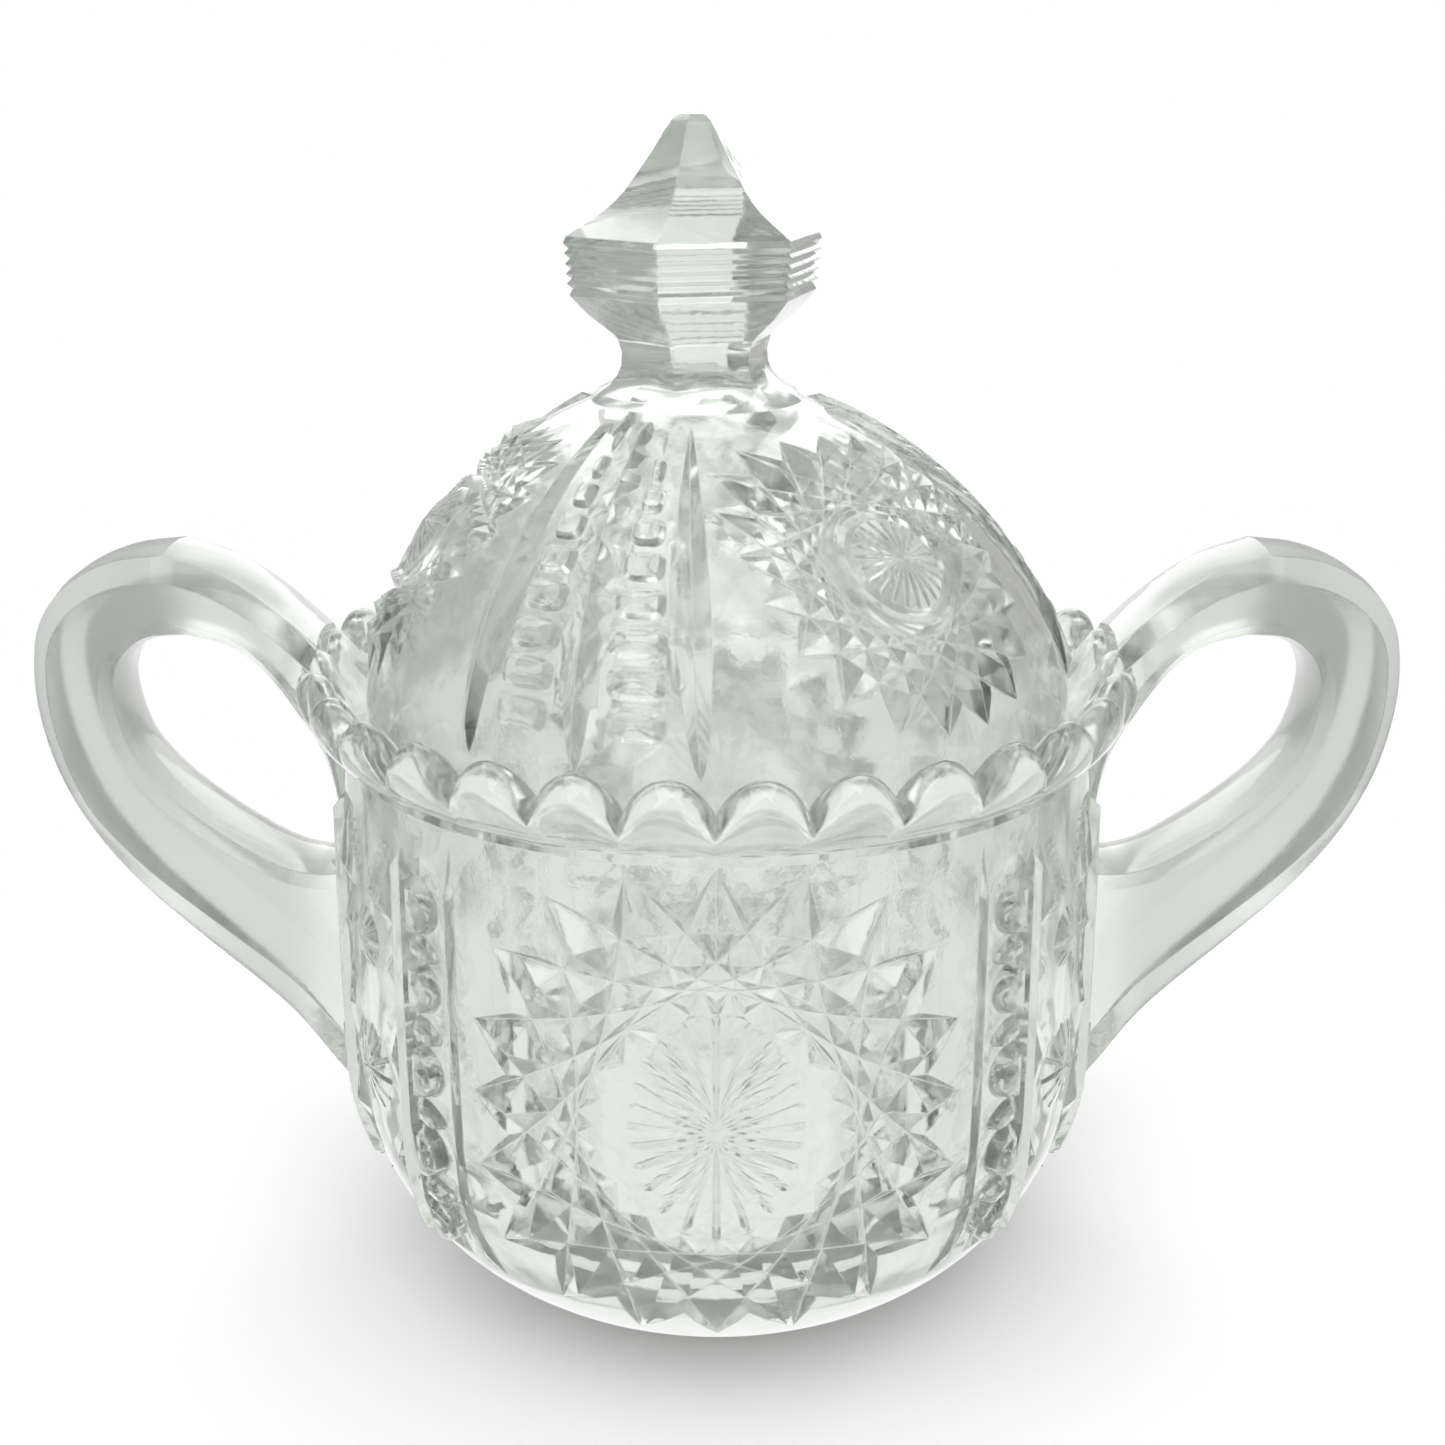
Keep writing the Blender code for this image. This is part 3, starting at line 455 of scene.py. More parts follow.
def add_columns(net, side):
    """The bands between a star panel and a handle.

    From the panel out: a thin ridge, a sunk ground with half-moon pads and rungs between them, and a sharp crest.
    A chain of rayed rosettes follows, with half diamonds and pointed arches on both sides, and a row of teeth low
    down.
    """

    def at(x, y):
        return Vector((side * x * MM, y * MM))

    add_rib(net, [at(*spot) for spot in RIDGE_ROUTE], RIDGE_WIDTH, RIDGE_RISE)
    pad_side = CREST - CREST_GAP
    sunk = [at(x + SUNK_OFF, y) for x, y in RIDGE_ROUTE[1:-1]]
    net.line([net.point(sunk[0]), *(net.point(spot, -SUNK) for spot in sunk[1:-1]), net.point(sunk[-1])])
    net.field([*sunk, at(pad_side, CREST_HIGH), at(pad_side, CREST_LOW - 1)])
    for y in PADS:
        reach = pad_side - PAD_EDGE
        arc = sweep(-TURN / 4, TURN / 4, 14)
        outline = [at(pad_side - reach * math.cos(a), y + PAD_HALF * math.sin(a)) for a in arc]
        add_pad(net, outline, PAD_RISE, -SUNK)
    for y in RUNGS:
        upper = ((pad_side, 1.6), (CREST - 3.2, 1.5), (PAD_EDGE + 0.6, 0.2), (PAD_EDGE, -0.8))
        lower = ((PAD_EDGE + 0.6, -1.6), (CREST - 3.2, -0.7), (pad_side, -0.6))
        add_pad(net, [at(x, y + up) for x, up in (*upper, *lower)], RUNG_RISE, -SUNK)
    for flip in (0, 1):

        def beside(x, y):
            return at(2 * CHAIN - x if flip else x, y)

        crest = [beside(CREST, y) for y in sweep(CREST_LOW, CREST_HIGH, 26)]
        add_rib(net, crest, CREST_WIDTH, CREST_RISE)
        near = CREST + CREST_GAP
        for low, high, reach in HALF_DIAMONDS:
            middle = (low + high) / 2
            corners = [beside(near, low), beside(near, high), beside(near + reach, middle)]
            add_facet(net, corners, beside(near + 0.3 * reach, middle), DIAMOND_RISE)
        add_facet(net, [beside(*spot) for spot in ARCH], beside(*ARCH_PEAK), ARCH_RISE)
        top, foot = Vector(ARCH[1]), Vector(ARCH[2])
        across = Vector((foot.y - top.y, top.x - foot.x)).normalized()
        for share in sweep(0.16, 0.88, 6):
            tick = top.lerp(foot, share) - TICK_GAP * across
            route = [tick - u * across for u in sweep(0.0, TICK_REACH, 3)]
            add_rib(net, [beside(*spot) for spot in route], TICK_WIDTH, TICK_RISE)
    for y, radius in ROSETTES:

        def on_wall(a, b, y=y):
            return at(CHAIN, y) + Vector((a, b))

        add_rosette(net, on_wall, radius * MM, ROSETTE_RISE, ROSETTE_RAYS, ROSETTE_DEPTH)
    for y in sweep(11.0, 44.0, 11):
        add_rib(net, [at(TEETH + x, y) for x in TOOTH_ROUTE], TOOTH_WIDTH, TOOTH_RISE)


def wall_net(profile):
    """The front half of the bowl's wall, unrolled: width round the wall across, length of its curve up."""
    net = Net()
    half = WALL_R * TURN / 4
    for y in (0.0, profile.length):
        net.line([net.point((x, y)) for x in sweep(-half, half, RING // 2)])
    for x in (-half, half):
        net.line([net.point((x, y)) for y in sweep(0.0, profile.length, 36)])
    middle = profile.along(BOWL_STAR_Z)
    add_star(net, lambda a, b: (a, b + middle), BOWL_STAR, BOWL_BOSS)
    for side in (-1, 1):
        add_columns(net, side)
    net.fill((-half, 0.0), (half, profile.length), WALL_FILL)
    return net


def add_faces(shape, places, faces):
    corners = [shape.verts.new(place) for place in places]
    for face in faces:
        shape.faces.new([corners[i] for i in face])


def add_band(shape, low, high):
    """Facets between two rings, where the second has as many corners as the first, or half."""
    step = len(low) // len(high)
    count = len(low)
    faces = []
    for i in range(len(high)):
        here = count + i
        after = count + (i + 1) % len(high)
        first = i * step
        last = (first + step) % count
        if step == 1:
            faces.append((first, last, after, here))
        else:
            faces.append((first, first + 1, here))
            faces.append((first + 1, after, here))
            faces.append((first + 1, last, after))
    add_faces(shape, [*low, *high], faces)


def polar(radius, angle, height):
    return Vector((radius * math.sin(angle), -radius * math.cos(angle), height))


def ring(radius, height, count):
    return [polar(radius, TURN * i / count, height) for i in range(count)]


def close_up(shape):
    bmesh.ops.remove_doubles(shape, verts=shape.verts, dist=10 * WELD)
    bmesh.ops.recalc_face_normals(shape, faces=shape.faces)


# The collar's section from the groove over the rolled edge to the ledge, on a scallop's crown and in a notch
COLLAR_CROWN = (
    (54.0, 82.8), (55.6, 83.5), (57.6, 84.9), (59.3, 86.9), (60.5, 89.1), (61.0, 91.0), (60.8, 92.4),
    (60.1, 93.5), (59.0, 94.2), (57.8, 94.3), (56.8, 93.8), (56.0, 92.7), (55.2, 90.6), (53.6, 87.0),
    (52.0, 84.0),
)
COLLAR_NOTCH = (
    (54.0, 82.8), (55.5, 83.4), (57.0, 84.3), (58.1, 85.4), (58.9, 86.5), (59.2, 87.3), (59.0, 88.0),
    (58.5, 88.6), (57.9, 89.1), (57.2, 89.4), (56.6, 89.5), (56.0, 89.4), (55.1, 88.6), (53.6, 86.6),
    (52.0, 84.0),
)
LOBE_ROUND = 0.72


def scallop(angle):
    """How far the edge drops at this angle: 0 on a scallop's crown and 1 in the notch beside it."""
    off = 2 * (angle * SCALLOPS / TURN % 1) - 1
    return (1 - math.sqrt(1 - LOBE_ROUND * off * off)) / (1 - math.sqrt(1 - LOBE_ROUND))


def make_bowl_shell():
    shape = bmesh.new()
    profile = bowl_profile()
    corners, faces = wall_net(profile).facets()
    for turn in (0.0, TURN / 2):
        add_faces(shape, profile.place(corners[:, 0] / WALL_R + turn, corners[:, 1], corners[:, 2]), faces)
    rings = [ring(GROOVE_R, GROOVE_Z, RING)]
    crown = spline([Vector(spot) for spot in COLLAR_CROWN], 2)
    notch = spline([Vector(spot) for spot in COLLAR_NOTCH], 2)
    angles = [TURN * i / RING for i in range(RING)]
    for high, low in zip(crown, notch):
        spots = [MM * high.lerp(low, scallop(angle)) for angle in angles]
        rings.append([polar(spot.x, angle, spot.y) for spot, angle in zip(spots, angles)])
    rings.append(ring(BORE_R, MM * COLLAR_CROWN[-1][1], RING // 2))
    for radius, height in reversed(quarter((FLOOR_R, FLOOR_Z), (BORE_R, INNER_SHOULDER_Z), 12)):
        rings.append(ring(radius, height, RING // 2))
    rings.append(ring(0.5 * FLOOR_R, FLOOR_Z - 0.8 * MM, RING // 4))
    for low, high in zip(rings, rings[1:]):
        add_band(shape, low, high)
    add_faces(shape, rings[-1], [tuple(range(len(rings[-1])))])
    under = [ring(BASE_R, 0.0, RING), ring(FOOT_R, 0.0, RING // 2), ring(FOOT_R - FOOT_HOLLOW, FOOT_HOLLOW, RING // 4)]
    for low, high in zip(under, under[1:]):
        add_band(shape, low, high)
    add_faces(shape, under[-1], [tuple(range(len(under[-1])))])
    close_up(shape)
    return shape


def add_object(name, shape):
    mesh = bpy.data.meshes.new(name)
    shape.to_mesh(mesh)
    shape.free()
    obj = bpy.data.objects.new(name, mesh)
    bpy.context.scene.collection.objects.link(obj)
    return obj


# Handles: the outer and inner outline of the right-hand one in x and z, from the rim round to the wall
HANDLE_OUTER = (
    (
        (50.5, 88.0), (54.5, 92.5), (60.0, 98.0), (65.5, 102.8), (71.5, 106.6), (78.5, 109.0),
    ),
    (
        (78.5, 109.0), (86.5, 107.9), (93.4, 104.2), (97.6, 98.8), (99.2, 92.0), (99.2, 84.5), (97.4, 75.5),
        (93.4, 66.5), (87.0, 57.6), (78.6, 49.0), (70.6, 41.4), (64.6, 35.0), (59.5, 27.5), (54.0, 20.0),
    ),
)
HANDLE_INNER = (
    (
        (56.0, 66.0), (57.7, 77.0), (61.5, 84.5), (65.6, 90.6), (70.2, 94.4), (76.4, 96.1),
    ),
    (
        (76.4, 96.1), (82.0, 95.6), (85.4, 93.0), (86.8, 89.8), (87.0, 86.6), (86.4, 82.6), (84.8, 78.2),
        (81.2, 73.4), (76.6, 69.2), (71.0, 65.0), (65.2, 61.5), (60.0, 60.2), (54.5, 60.5), (49.0, 60.0),
    ),
)
HANDLE_STEPS = 4
HANDLE_HALF = 9.5
CHAMFER = 3.5
ROOT_CHAMFER = 9.0
ROOT_START = 0.65


def spline(points, steps):
    ends = [2 * points[0] - points[1], *points, 2 * points[-1] - points[-2]]
    curve = []
    for a, b, c, d in zip(ends, ends[1:], ends[2:], ends[3:]):
        for i in range(steps):
            t = i / steps
            bend = t * t * (2 * a - 5 * b + 4 * c - d)
            twist = t**3 * (3 * b - 3 * c + d - a)
            curve.append(b + (t * (c - a) + bend + twist) / 2)
    return [*curve, points[-1]]


def handle_section(thick, share):
    """Half of the handle's section: pairs of depth below its outer edge and distance from its middle plane."""
    chamfer = CHAMFER + (ROOT_CHAMFER - CHAMFER) * max(0.0, share - ROOT_START) / (1 - ROOT_START)
    return [
        (0.0, 2.2),
        (0.5, HANDLE_HALF - 3.3),
        (chamfer, HANDLE_HALF),
        (thick - 2.6, 7.6),
        (thick - 0.9, 6.2),
        (thick, 3.4),
    ]


def make_handle(side):
    shape = bmesh.new()
    outer = spline_parts(HANDLE_OUTER)
    inner = spline_parts(HANDLE_INNER)
    loops = []
    for i, (high, low) in enumerate(zip(outer, inner)):
        inward = (low - high).normalized()
        half = handle_section((low - high).length, i / (len(outer) - 1))
        corners = []
        for depth, y in [*half, *((depth, -y) for depth, y in reversed(half))]:
            place = high + depth * inward
            corners.append(MM * Vector((side * place.x, y, place.y)))
        loops.append(corners)
    for low, high in zip(loops, loops[1:]):
        add_band(shape, low, high)
    add_faces(shape, loops[0], [tuple(range(len(loops[0])))])
    add_faces(shape, loops[-1], [tuple(range(len(loops[-1])))])
    close_up(shape)
    return shape


def spline_parts(parts):
    """One curve through several runs of points, with a corner where two runs meet."""
    curve = []
    for part in parts:
        curve = curve[:-1] + spline([Vector(spot) for spot in part], HANDLE_STEPS)
    return curve


# The space inside the bowl and over its ledge, which the handles are cut back from
CORE_SIDES = 94
CORE_R = 58 * MM
CORE_STEP_Z = 87.4 * MM
CORE_TOP_Z = 150 * MM


def make_core():
    shape = bmesh.new()
    middle = (BORE_R + WALL_R) / 2
    outline = [(FLOOR_R, FLOOR_Z), (middle, SHOULDER_Z), (middle, GROOVE_Z)]
    outline += [(CORE_R, CORE_STEP_Z), (CORE_R, CORE_TOP_Z)]
    rings = [ring(radius, height, CORE_SIDES) for radius, height in outline]
    for low, high in zip(rings, rings[1:]):
        add_band(shape, low, high)
    add_faces(shape, rings[0], [tuple(range(CORE_SIDES))])
    add_faces(shape, rings[-1], [tuple(range(CORE_SIDES))])
    close_up(shape)
    return shape


def apply_boolean(obj, other, operation):
    modifier = obj.modifiers.new(other.name, "BOOLEAN")
    modifier.operation = operation
    modifier.object = other
    bpy.context.view_layer.objects.active = obj
    bpy.ops.object.modifier_apply(modifier=modifier.name)


def make_bowl():
    bowl = add_object("bowl_pressed", make_bowl_shell())
    core = add_object("handle_core", make_core())
    for side, name in ((-1, "left_handle"), (1, "right_handle")):
        handle = add_object(name, make_handle(side))
        apply_boolean(handle, core, "DIFFERENCE")
        apply_boolean(bowl, handle, "UNION")
        bpy.data.objects.remove(handle)
    bpy.data.objects.remove(core)
    return bowl


# Lid
DOME_RISE = 48.7 * MM
DOME_POWER = 1.75
LID_EDGE = 3.0 * MM
LID_WALL = 4.2 * MM
DOME_CROWN = 6.0 * MM
DOME_GROUPS = 3
LID_TURN = math.radians(40.0)
NECK_R = 10.0 * MM
FINIAL_TURN = math.radians(-15.0)
FINIAL_OFF = -3.0 * MM
LID_STEPS = 80
NECK_STEPS = 24
LID_STAR_RISE = 29.3 * MM
LID_STAR = {
    "width": 21.6,
    "up": 22.5,
    "down": 23.3,
    "span": 7,
    "turn": 0.5,
    "depth": 1.0,
    "slope": 0.9,
    "bow": 0.3,
    "side_bow": 0.3,
}
LID_BOSS = {"width": 6.6, "height": 6.8, "rise": 0.9, "edge": 0.1, "rays": 22, "groove": 0.3, "depth": 0.45}
MOAT = ((9.0, 0.1), (8.4, -0.5), (7.4, -0.7))
SPEAR_ANGLE = math.radians(18.0)
SPEAR_FOOT = 7 * MM
SPEAR_WIDTH, SPEAR_RISE = 5.6 * MM, 1.2 * MM
SPEAR_STEPS = 26
SEAM_STEPS = 28
NECK_GAP = 2 * MM
SPEAR_GAP = 1 * MM
LADDER_PADS = 9
LADDER_FOOT = 11 * MM
LADDER_GAP = 2.5 * MM
LADDER_REACH = 3.8 * MM
LADDER_RISE, LADDER_SUNK = 1.0 * MM, 0.2 * MM
LADDER_CORNERS = 16
DOME_FILL = 2.4 * MM
LEAN_START = 0.15


def dome_curve(radius, rise, stop, steps):
    points = [(radius, 0.0)]
    top = (1 - (stop / radius) ** DOME_POWER) ** (1 / DOME_POWER)
    for height in (math.sin(a) for a in sweep(0.0, math.asin(top), steps)):
        points.append((radius * (1 - height**DOME_POWER) ** (1 / DOME_POWER), LID_EDGE + (rise - LID_EDGE) * height))
    return points


def dome_net(profile, sector):
    net = Net()
    scale = LID_R
    half = scale * sector / 2
    net.line([net.point((x, 0.0)) for x in sweep(-half, half, LID_STEPS)])
    net.line([net.point((x, profile.length)) for x in sweep(-half, half, NECK_STEPS)])

    def on_dome(across, station, angle=0.0):
        return (scale * (angle + across / float(profile.radius(station))), station)

    middle = profile.along(LID_STAR_RISE)
    add_star(net, lambda a, b: on_dome(a, b + middle), LID_STAR, LID_BOSS)
    for radius, rise in MOAT:
        spots = [(radius * MM * math.cos(a), radius * MM * math.sin(a)) for a in sweep(0.0, TURN, 48)[:-1]]
        net.loop([net.point(on_dome(a, b + middle), rise * MM) for a, b in spots])
    low = profile.along(SPEAR_FOOT)
    high = profile.length - NECK_GAP
    for side in (-1, 1):
        turn = side * (sector / 2 - SPEAR_ANGLE)
        route = [on_dome(0, y, turn) for y in sweep(low, high - SPEAR_GAP, SPEAR_STEPS)]
        add_spear(net, route, SPEAR_WIDTH, SPEAR_RISE)
        edge = side * half
        stations = sweep(low, high, SEAM_STEPS)
        crest = [net.point((edge, 0.0)), net.point((edge, low))]
        crest += [net.point((edge, y), SPEAR_RISE) for y in stations[1:-1]]
        crest += [net.point((edge, high)), net.point((edge, profile.length))]
        net.line(crest)
        foot = []
        for y, share in list(zip(stations, sweep(0.0, 1.0, SEAM_STEPS)))[1:-1]:
            across = -side * SPEAR_WIDTH / 2 * math.sin(math.pi * share) ** SPEAR_SWELL
            foot.append(net.point(on_dome(across, y, side * sector / 2)))
        net.line([crest[1], *foot, crest[-2]])
        column = side * (sector / 2 - SPEAR_ANGLE / 2)
        pads = sweep(profile.along(LADDER_FOOT), high - LADDER_GAP, LADDER_PADS)
        for lower, upper in zip(pads, pads[1:]):
            reach = min(LADDER_REACH, (SPEAR_ANGLE * float(profile.radius(upper)) - 1.05 * SPEAR_WIDTH) / 2)
            tall = 0.42 * (upper - lower)
            outline = []
            for i in range(LADDER_CORNERS):
                angle = TURN * (i + 0.5) / LADDER_CORNERS
                x = math.copysign(abs(math.cos(angle)) ** 0.5, math.cos(angle))
                y = math.copysign(abs(math.sin(angle)) ** 0.6, math.sin(angle))
                outline.append(on_dome(reach * x, (lower + upper) / 2 + tall * y, column))
            add_pad(net, outline, LADDER_RISE, -LADDER_SUNK)
    net.fill((-half, 0.0), (half, profile.length), DOME_FILL)
    return net


# Finial, from the neck up: corner radius and height over the end of the dome's curve. On the neck, a third number
# says how far it is six-sided.
NECK = ((14.0, 1.2, 0.0), (12.3, 2.3, 0.3), (11.2, 3.5, 0.7))
FINIAL = (
    (10.6, 4.8), (10.45, 6.6), (11.0, 8.5), (11.9, 9.4), (15.3, 12.1), (17.6, 14.6), (17.1, 15.4), (17.9, 16.1),
    (17.2, 16.8), (18.0, 17.4), (17.3, 18.1), (18.1, 18.7), (17.4, 19.4), (18.2, 20.1), (17.6, 20.7),
    (18.3, 21.5), (17.9, 22.3), (16.4, 23.2), (14.3, 24.4), (12.5, 25.6), (11.0, 26.8), (9.7, 28.1),
    (7.7, 30.7), (5.8, 33.2), (4.1, 35.8), (3.0, 37.2), (2.0, 37.9), (0.9, 38.1),
)


def hexagon(angle):
    sixth = TURN / 6
    off = (angle - FINIAL_TURN) % sixth - sixth / 2
    return math.cos(sixth / 2) / math.cos(off)


def make_lid():
    shape = bmesh.new()
    profile = Profile(dome_curve(LID_R, DOME_RISE, 1.5 * NECK_R, 40))
    sector = TURN / DOME_GROUPS
    corners, faces = dome_net(profile, sector).facets()
    for group in range(DOME_GROUPS):
        turn = LID_TURN + group * sector
        add_faces(shape, profile.place(corners[:, 0] / LID_R + turn, corners[:, 1], corners[:, 2]), faces)
    start = LID_TURN - sector / 2
    count = DOME_GROUPS * NECK_STEPS
    angles = [start + TURN * i / count for i in range(count)]
    radius, height = profile.points[-1]
    rings = [[polar(radius, angle, height) for angle in angles]]
    for corner, rise, share in [*NECK, *((*spot, 1.0) for spot in FINIAL)]:
        reaches = [corner * MM * (1 + share * (hexagon(angle) - 1)) for angle in angles]
        places = [polar(reach, angle, height + rise * MM) for reach, angle in zip(reaches, angles)]
        rings.append(places)
    for low, high in zip(rings, rings[1:]):
        add_band(shape, low, high)
    add_faces(shape, rings[-1], [tuple(range(count))])
    count = DOME_GROUPS * LID_STEPS
    angles = [start + TURN * i / count for i in range(count)]
    inner = LID_R - LID_WALL
    rings = [[polar(LID_R, angle, 0.0) for angle in angles]]
    for radius, height in dome_curve(inner, DOME_RISE - DOME_CROWN, inner / 8, 20):
        rings.append([polar(radius, angle, height) for angle in angles[::2]])
    for low, high in zip(rings, rings[1:]):
        add_band(shape, low, high)
    add_faces(shape, rings[-1], [tuple(range(len(rings[-1])))])
    close_up(shape)
    for corner in shape.verts:
        lean = max(0.0, corner.co.z / DOME_RISE - LEAN_START) / (1 - LEAN_START)
        corner.co.x += FINIAL_OFF * min(1.0, lean)
    bmesh.ops.translate(shape, verts=shape.verts, vec=(0, 0, SEAT_Z))
    return add_object("lid_pressed", shape)


def linear(code):
    """An sRGB hex colour as linear red, green and blue."""
    parts = [int(code[i : i + 2], 16) / 255 for i in (0, 2, 4)]
    return [c / 12.92 if c <= 0.04045 else ((c + 0.055) / 1.055) ** 2.4 for c in parts]


def add_node(tree, kind, settings=None, **links):
    """A node with its settings by name, and its inputs by number or name from sockets or values."""
    node = tree.nodes.new(kind)
    for name, value in (settings or {}).items():
        setattr(node, name, value)
    for name, value in links.items():
        numbered = name[0] == "_" and name[1:].isdigit()
        socket = node.inputs[int(name[1:])] if numbered else node.inputs[name.replace("_", " ")]
        if isinstance(value, bpy.types.NodeSocket):
            tree.links.new(value, socket)
        else:
            socket.default_value = value
    return node


def map_range(tree, value, low, high, first=0.0, last=1.0):
    """A socket that runs from first to last while the value runs from low to high."""
    node = add_node(tree, "ShaderNodeMapRange", Value=value)
    for name, number in (("From Min", low), ("From Max", high), ("To Min", first), ("To Max", last)):
        node.inputs[name].default_value = number
    return node.outputs["Result"]


def combine(tree, operation, first, second):
    return add_node(tree, "ShaderNodeMath", {"operation": operation}, _0=first, _1=second).outputs[0]


# Glass
# How far past the rim the handles turn rougher from wear and greyer from painted shade
WEAR_AND_SHADE_RUN = 5 * MM
WORN_ROUGHNESS = 0.26
BOWL_ROUGHNESS = 0.07
LID_ROUGHNESS = 0.1
EDGE_ROUND = 0.3 * MM
RIPPLE_DEPTH = 0.3 * MM


def pressed_glass(name, roughness):
    """Soda glass pressed in an iron mould and fire-polished.

    The eye sees clear glass with a grey-green cast where it is thick, faint ripples from the mould, facets with
    slightly rounded edges, and handles that are satin from wear and greyer from painted shade.
    """
    material = bpy.data.materials.new(name)
    material.use_nodes = True
    tree = material.node_tree
    shader = tree.nodes["Principled BSDF"]
    output = tree.nodes["Material Output"]
    shader.inputs["IOR"].default_value = 1.51
    shader.inputs["Transmission Weight"].default_value = 1.0
    shader.inputs["Coat Weight"].default_value = 1.0
    shader.inputs["Coat Roughness"].default_value = 0.03
    place = add_node(tree, "ShaderNodeTexCoord").outputs["Object"]
    flat = add_node(tree, "ShaderNodeVectorMath", {"operation": "MULTIPLY"}, _0=place, _1=(1.0, 1.0, 0.0))
    reach = add_node(tree, "ShaderNodeVectorMath", {"operation": "LENGTH"}, _0=flat.outputs["Vector"])
    # Outside the rim, on the handles: rougher from wear, and a greyer base colour that is painted shade
    wear_and_painted_shade = map_range(tree, reach.outputs["Value"], RIM_R, RIM_R + WEAR_AND_SHADE_RUN)
    tree.links.new(map_range(tree, wear_and_painted_shade, 0.0, 1.0, roughness, WORN_ROUGHNESS), shader.inputs["Roughness"])
    # Painted shade: the handles' base colour is darker grey than the bowl's, standing for the shade seen through thick
    # glass
    tint_and_painted_shade = add_node(tree, "ShaderNodeMix", {"data_type": "RGBA"}, Factor=wear_and_painted_shade)
    tint_and_painted_shade.inputs[6].default_value = (*linear("f3f5f2"), 1.0)
    tint_and_painted_shade.inputs[7].default_value = (*linear("e2e5e1"), 1.0)
    tree.links.new(tint_and_painted_shade.outputs[2], shader.inputs["Base Color"])
    ripple = add_node(tree, "ShaderNodeTexNoise", Vector=place, Scale=330.0, Detail=3.0)
    edges = add_node(tree, "ShaderNodeBevel", {"samples": 4}, Radius=EDGE_ROUND)
    bump = add_node(tree, "ShaderNodeBump", Height=ripple.outputs["Fac"], Strength=0.15, Distance=RIPPLE_DEPTH)
    tree.links.new(edges.outputs[0], bump.inputs["Normal"])
    tree.links.new(bump.outputs["Normal"], shader.inputs["Normal"])
    tree.links.new(bump.outputs["Normal"], shader.inputs["Coat Normal"])
    depth = add_node(tree, "ShaderNodeVolumeAbsorption", Color=(*linear("ebeeeb"), 1.0), Density=32.0)
    tree.links.new(depth.outputs["Volume"], output.inputs["Volume"])
    return material


def finish_piece(obj, body, node, material):
    obj.data.materials.clear()
    obj.data.materials.append(material)
    for other in bpy.context.selected_objects:
        other.select_set(False)
    obj.select_set(True)
    bpy.context.view_layer.objects.active = obj
    bpy.ops.object.shade_smooth_by_angle(angle=math.radians(22))
    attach(obj, body)
    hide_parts(node)


# Studio: a white sweep for the camera. The glass also sees it, greyer overhead and at the sides.
SKY_LOW, SKY_HIGH = 0.05, 0.35
SKY_OVERHEAD = 0.52
SKY_LIGHT = 0.55
FLOOR_SIZE = 8.0
FLOOR_DROP = 0.2 * MM
PAPER_WHITE = (0.95, 0.95, 0.95, 1.0)
SHADOW_NEAR, SHADOW_FAR = 0.06, 0.2
SHEET_NEAR, SHEET_FAR = 0.12, 0.26
SIDE_GREY = 0.5
CARD_PLACE = (0.2, 0.05, 0.2)
CARD_SIZE = (0.4, 0.8, 1.0)


def also_in_glass(tree, path, share):
    """The share, raised to 1 for the rays that glass reflects or lets through."""
    for name in ("Is Glossy Ray", "Is Transmission Ray"):
        share = combine(tree, "MAXIMUM", share, path.outputs[name])
    return share


def set_world():
    world = bpy.data.worlds.new("studio")
    bpy.context.scene.world = world
    world.use_nodes = True
    tree = world.node_tree
    tree.nodes.clear()
    path = add_node(tree, "ShaderNodeLightPath")
    place = add_node(tree, "ShaderNodeTexCoord")
    axes = add_node(tree, "ShaderNodeSeparateXYZ", Vector=place.outputs["Generated"])
    sky = map_range(tree, axes.outputs["Z"], SKY_LOW, SKY_HIGH, 1.0, SKY_OVERHEAD)
    glow = combine(tree, "MAXIMUM", path.outputs["Is Camera Ray"], sky)
    seen = add_node(tree, "ShaderNodeBackground", Color=(1, 1, 1, 1), Strength=glow)
    lit = add_node(tree, "ShaderNodeBackground", Color=(1, 1, 1, 1), Strength=SKY_LIGHT)
    share = also_in_glass(tree, path, path.outputs["Is Camera Ray"])
    mix = add_node(tree, "ShaderNodeMixShader", _0=share, _1=lit.outputs[0], _2=seen.outputs[0])
    add_node(tree, "ShaderNodeOutputWorld", Surface=mix.outputs[0])


def make_floor():
    """White paper that keeps the shadow near the bowl and is plain white further off."""
    bpy.ops.object.select_all(action="DESELECT")
    bpy.ops.mesh.primitive_plane_add(size=FLOOR_SIZE, location=(0, 0, -FLOOR_DROP))
    floor = bpy.context.object
    floor.name = "floor"
    material = bpy.data.materials.new("white_paper_floor")
    material.use_nodes = True
    tree = material.node_tree
    tree.nodes.clear()
    path = add_node(tree, "ShaderNodeLightPath")
    place = add_node(tree, "ShaderNodeTexCoord").outputs["Object"]
    far = add_node(tree, "ShaderNodeVectorMath", {"operation": "LENGTH"}, _0=place)
    fade = map_range(tree, far.outputs["Value"], SHADOW_NEAR, SHADOW_FAR)
    axes = add_node(tree, "ShaderNodeSeparateXYZ", Vector=place)
    beside = add_node(tree, "ShaderNodeMath", {"operation": "ABSOLUTE"}, _0=axes.outputs["X"])
    sheet = map_range(tree, beside.outputs[0], SHEET_NEAR, SHEET_FAR, 1.0, SIDE_GREY)
    glow = combine(tree, "MAXIMUM", path.outputs["Is Camera Ray"], sheet)
    share = also_in_glass(tree, path, combine(tree, "MULTIPLY", path.outputs["Is Camera Ray"], fade))
    paper = add_node(tree, "ShaderNodeBsdfDiffuse", Color=PAPER_WHITE)
    white = add_node(tree, "ShaderNodeEmission", Strength=glow)
    mix = add_node(tree, "ShaderNodeMixShader", _0=share, _1=paper.outputs[0], _2=white.outputs[0])
    add_node(tree, "ShaderNodeOutputMaterial", Surface=mix.outputs[0])
    floor.data.materials.append(material)


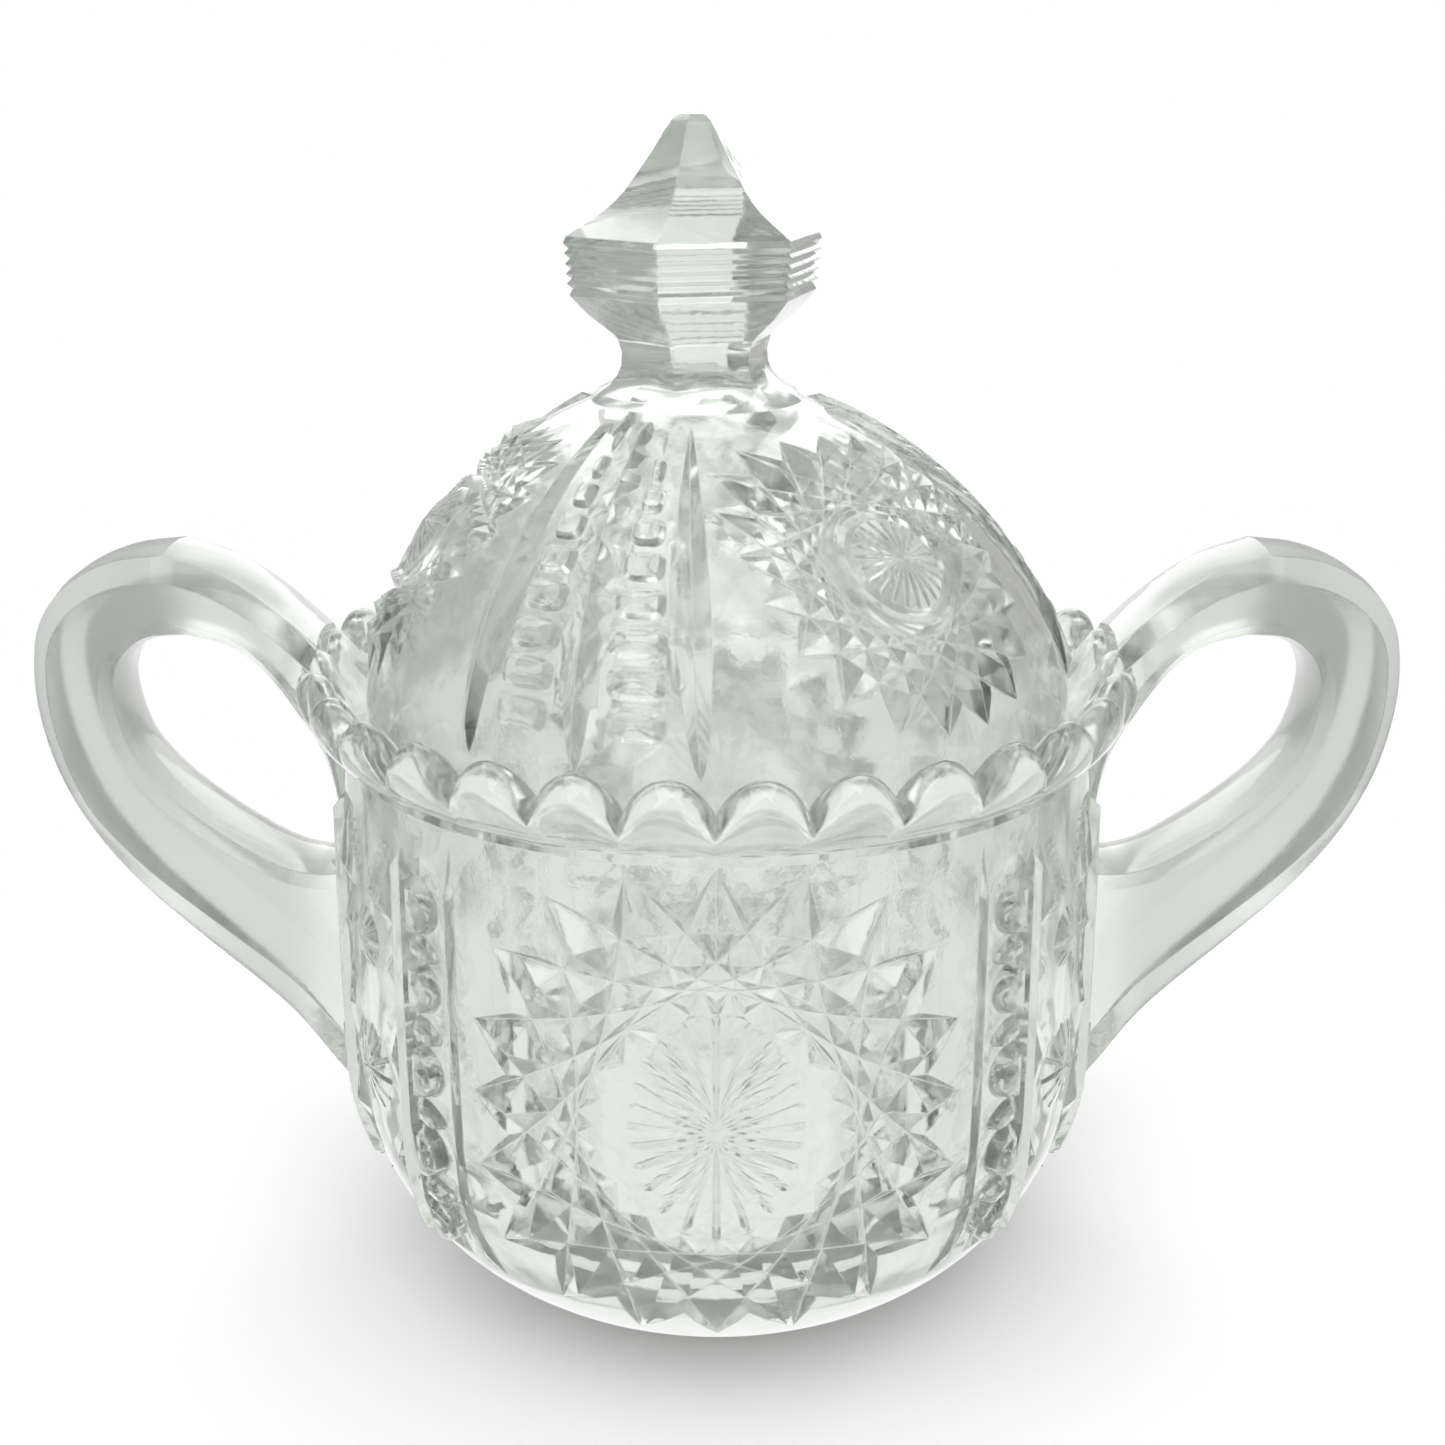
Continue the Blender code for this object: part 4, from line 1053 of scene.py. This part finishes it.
def add_card(name, side):
    """A grey card beside the bowl, out of the picture: it gives the clear glass its darker edges."""
    bpy.ops.object.select_all(action="DESELECT")
    x, y, z = CARD_PLACE
    bpy.ops.mesh.primitive_plane_add(size=1.0, location=(side * x, y, z), rotation=(0, math.radians(90), 0))
    card = bpy.context.object
    card.name = name
    card.scale = CARD_SIZE
    bpy.ops.object.transform_apply(location=True, rotation=True, scale=True)
    material = bpy.data.materials.new("grey_card")
    material.use_nodes = True
    tree = material.node_tree
    tree.nodes.clear()
    grey = add_node(tree, "ShaderNodeEmission", Strength=SIDE_GREY)
    add_node(tree, "ShaderNodeOutputMaterial", Surface=grey.outputs[0])
    card.data.materials.append(material)
    card.visible_camera = False
    card.visible_diffuse = False
    card.visible_shadow = False


# Softboxes: name, place, size and power
LAMPS = (
    ("key_softbox", (-0.55, -0.35, 0.75), (1.5, 1.5), 7.5),
    ("fill_softbox", (0.65, -0.25, 0.55), (1.2, 1.4), 4.5),
    ("back_softbox", (0.1, 0.6, 0.6), (1.6, 0.9), 5.0),
)
LAMP_AIM = (0, 0, 0.08)

# The photo's camera, fitted to the rim, foot and finial
SENSOR = 36.0
FOCAL_PIXELS = 1800
PICTURE_PIXELS = 1445
CAMERA_PLACE = (0.0008, -0.2546, 0.170)
CAMERA_DIP = 19.185


def add_lamp(name, place, size, power):
    data = bpy.data.lights.new(name, "AREA")
    data.shape = "RECTANGLE"
    data.size, data.size_y = size
    data.energy = power
    lamp = bpy.data.objects.new(name, data)
    lamp.location = place
    lamp.rotation_euler = (Vector(LAMP_AIM) - Vector(place)).to_track_quat("-Z", "Y").to_euler()
    bpy.context.scene.collection.objects.link(lamp)


def set_camera():
    data = bpy.data.cameras.new("camera")
    data.sensor_width = SENSOR
    data.lens = SENSOR * FOCAL_PIXELS / PICTURE_PIXELS
    camera = bpy.data.objects.new("camera", data)
    camera.location = CAMERA_PLACE
    camera.rotation_euler = (math.radians(90 - CAMERA_DIP), 0, 0)
    bpy.context.scene.collection.objects.link(camera)
    bpy.context.scene.camera = camera


def main():
    bowl_glass = pressed_glass("bowl_pressed_soda_glass", BOWL_ROUGHNESS)
    lid_glass = pressed_glass("lid_pressed_soda_glass", LID_ROUGHNESS)
    finish_piece(make_bowl(), "bowl", "bowl", bowl_glass)
    finish_piece(make_lid(), "lid", "lid", lid_glass)
    set_world()
    make_floor()
    add_card("grey_card_left", -1)
    add_card("grey_card_right", 1)
    for lamp in LAMPS:
        add_lamp(*lamp)
    set_camera()
    bpy.context.scene.view_settings.view_transform = "Standard"
    bpy.context.scene.cycles.max_bounces = 32
    bpy.context.scene.cycles.transmission_bounces = 32
    bpy.context.scene.cycles.glossy_bounces = 16


main()
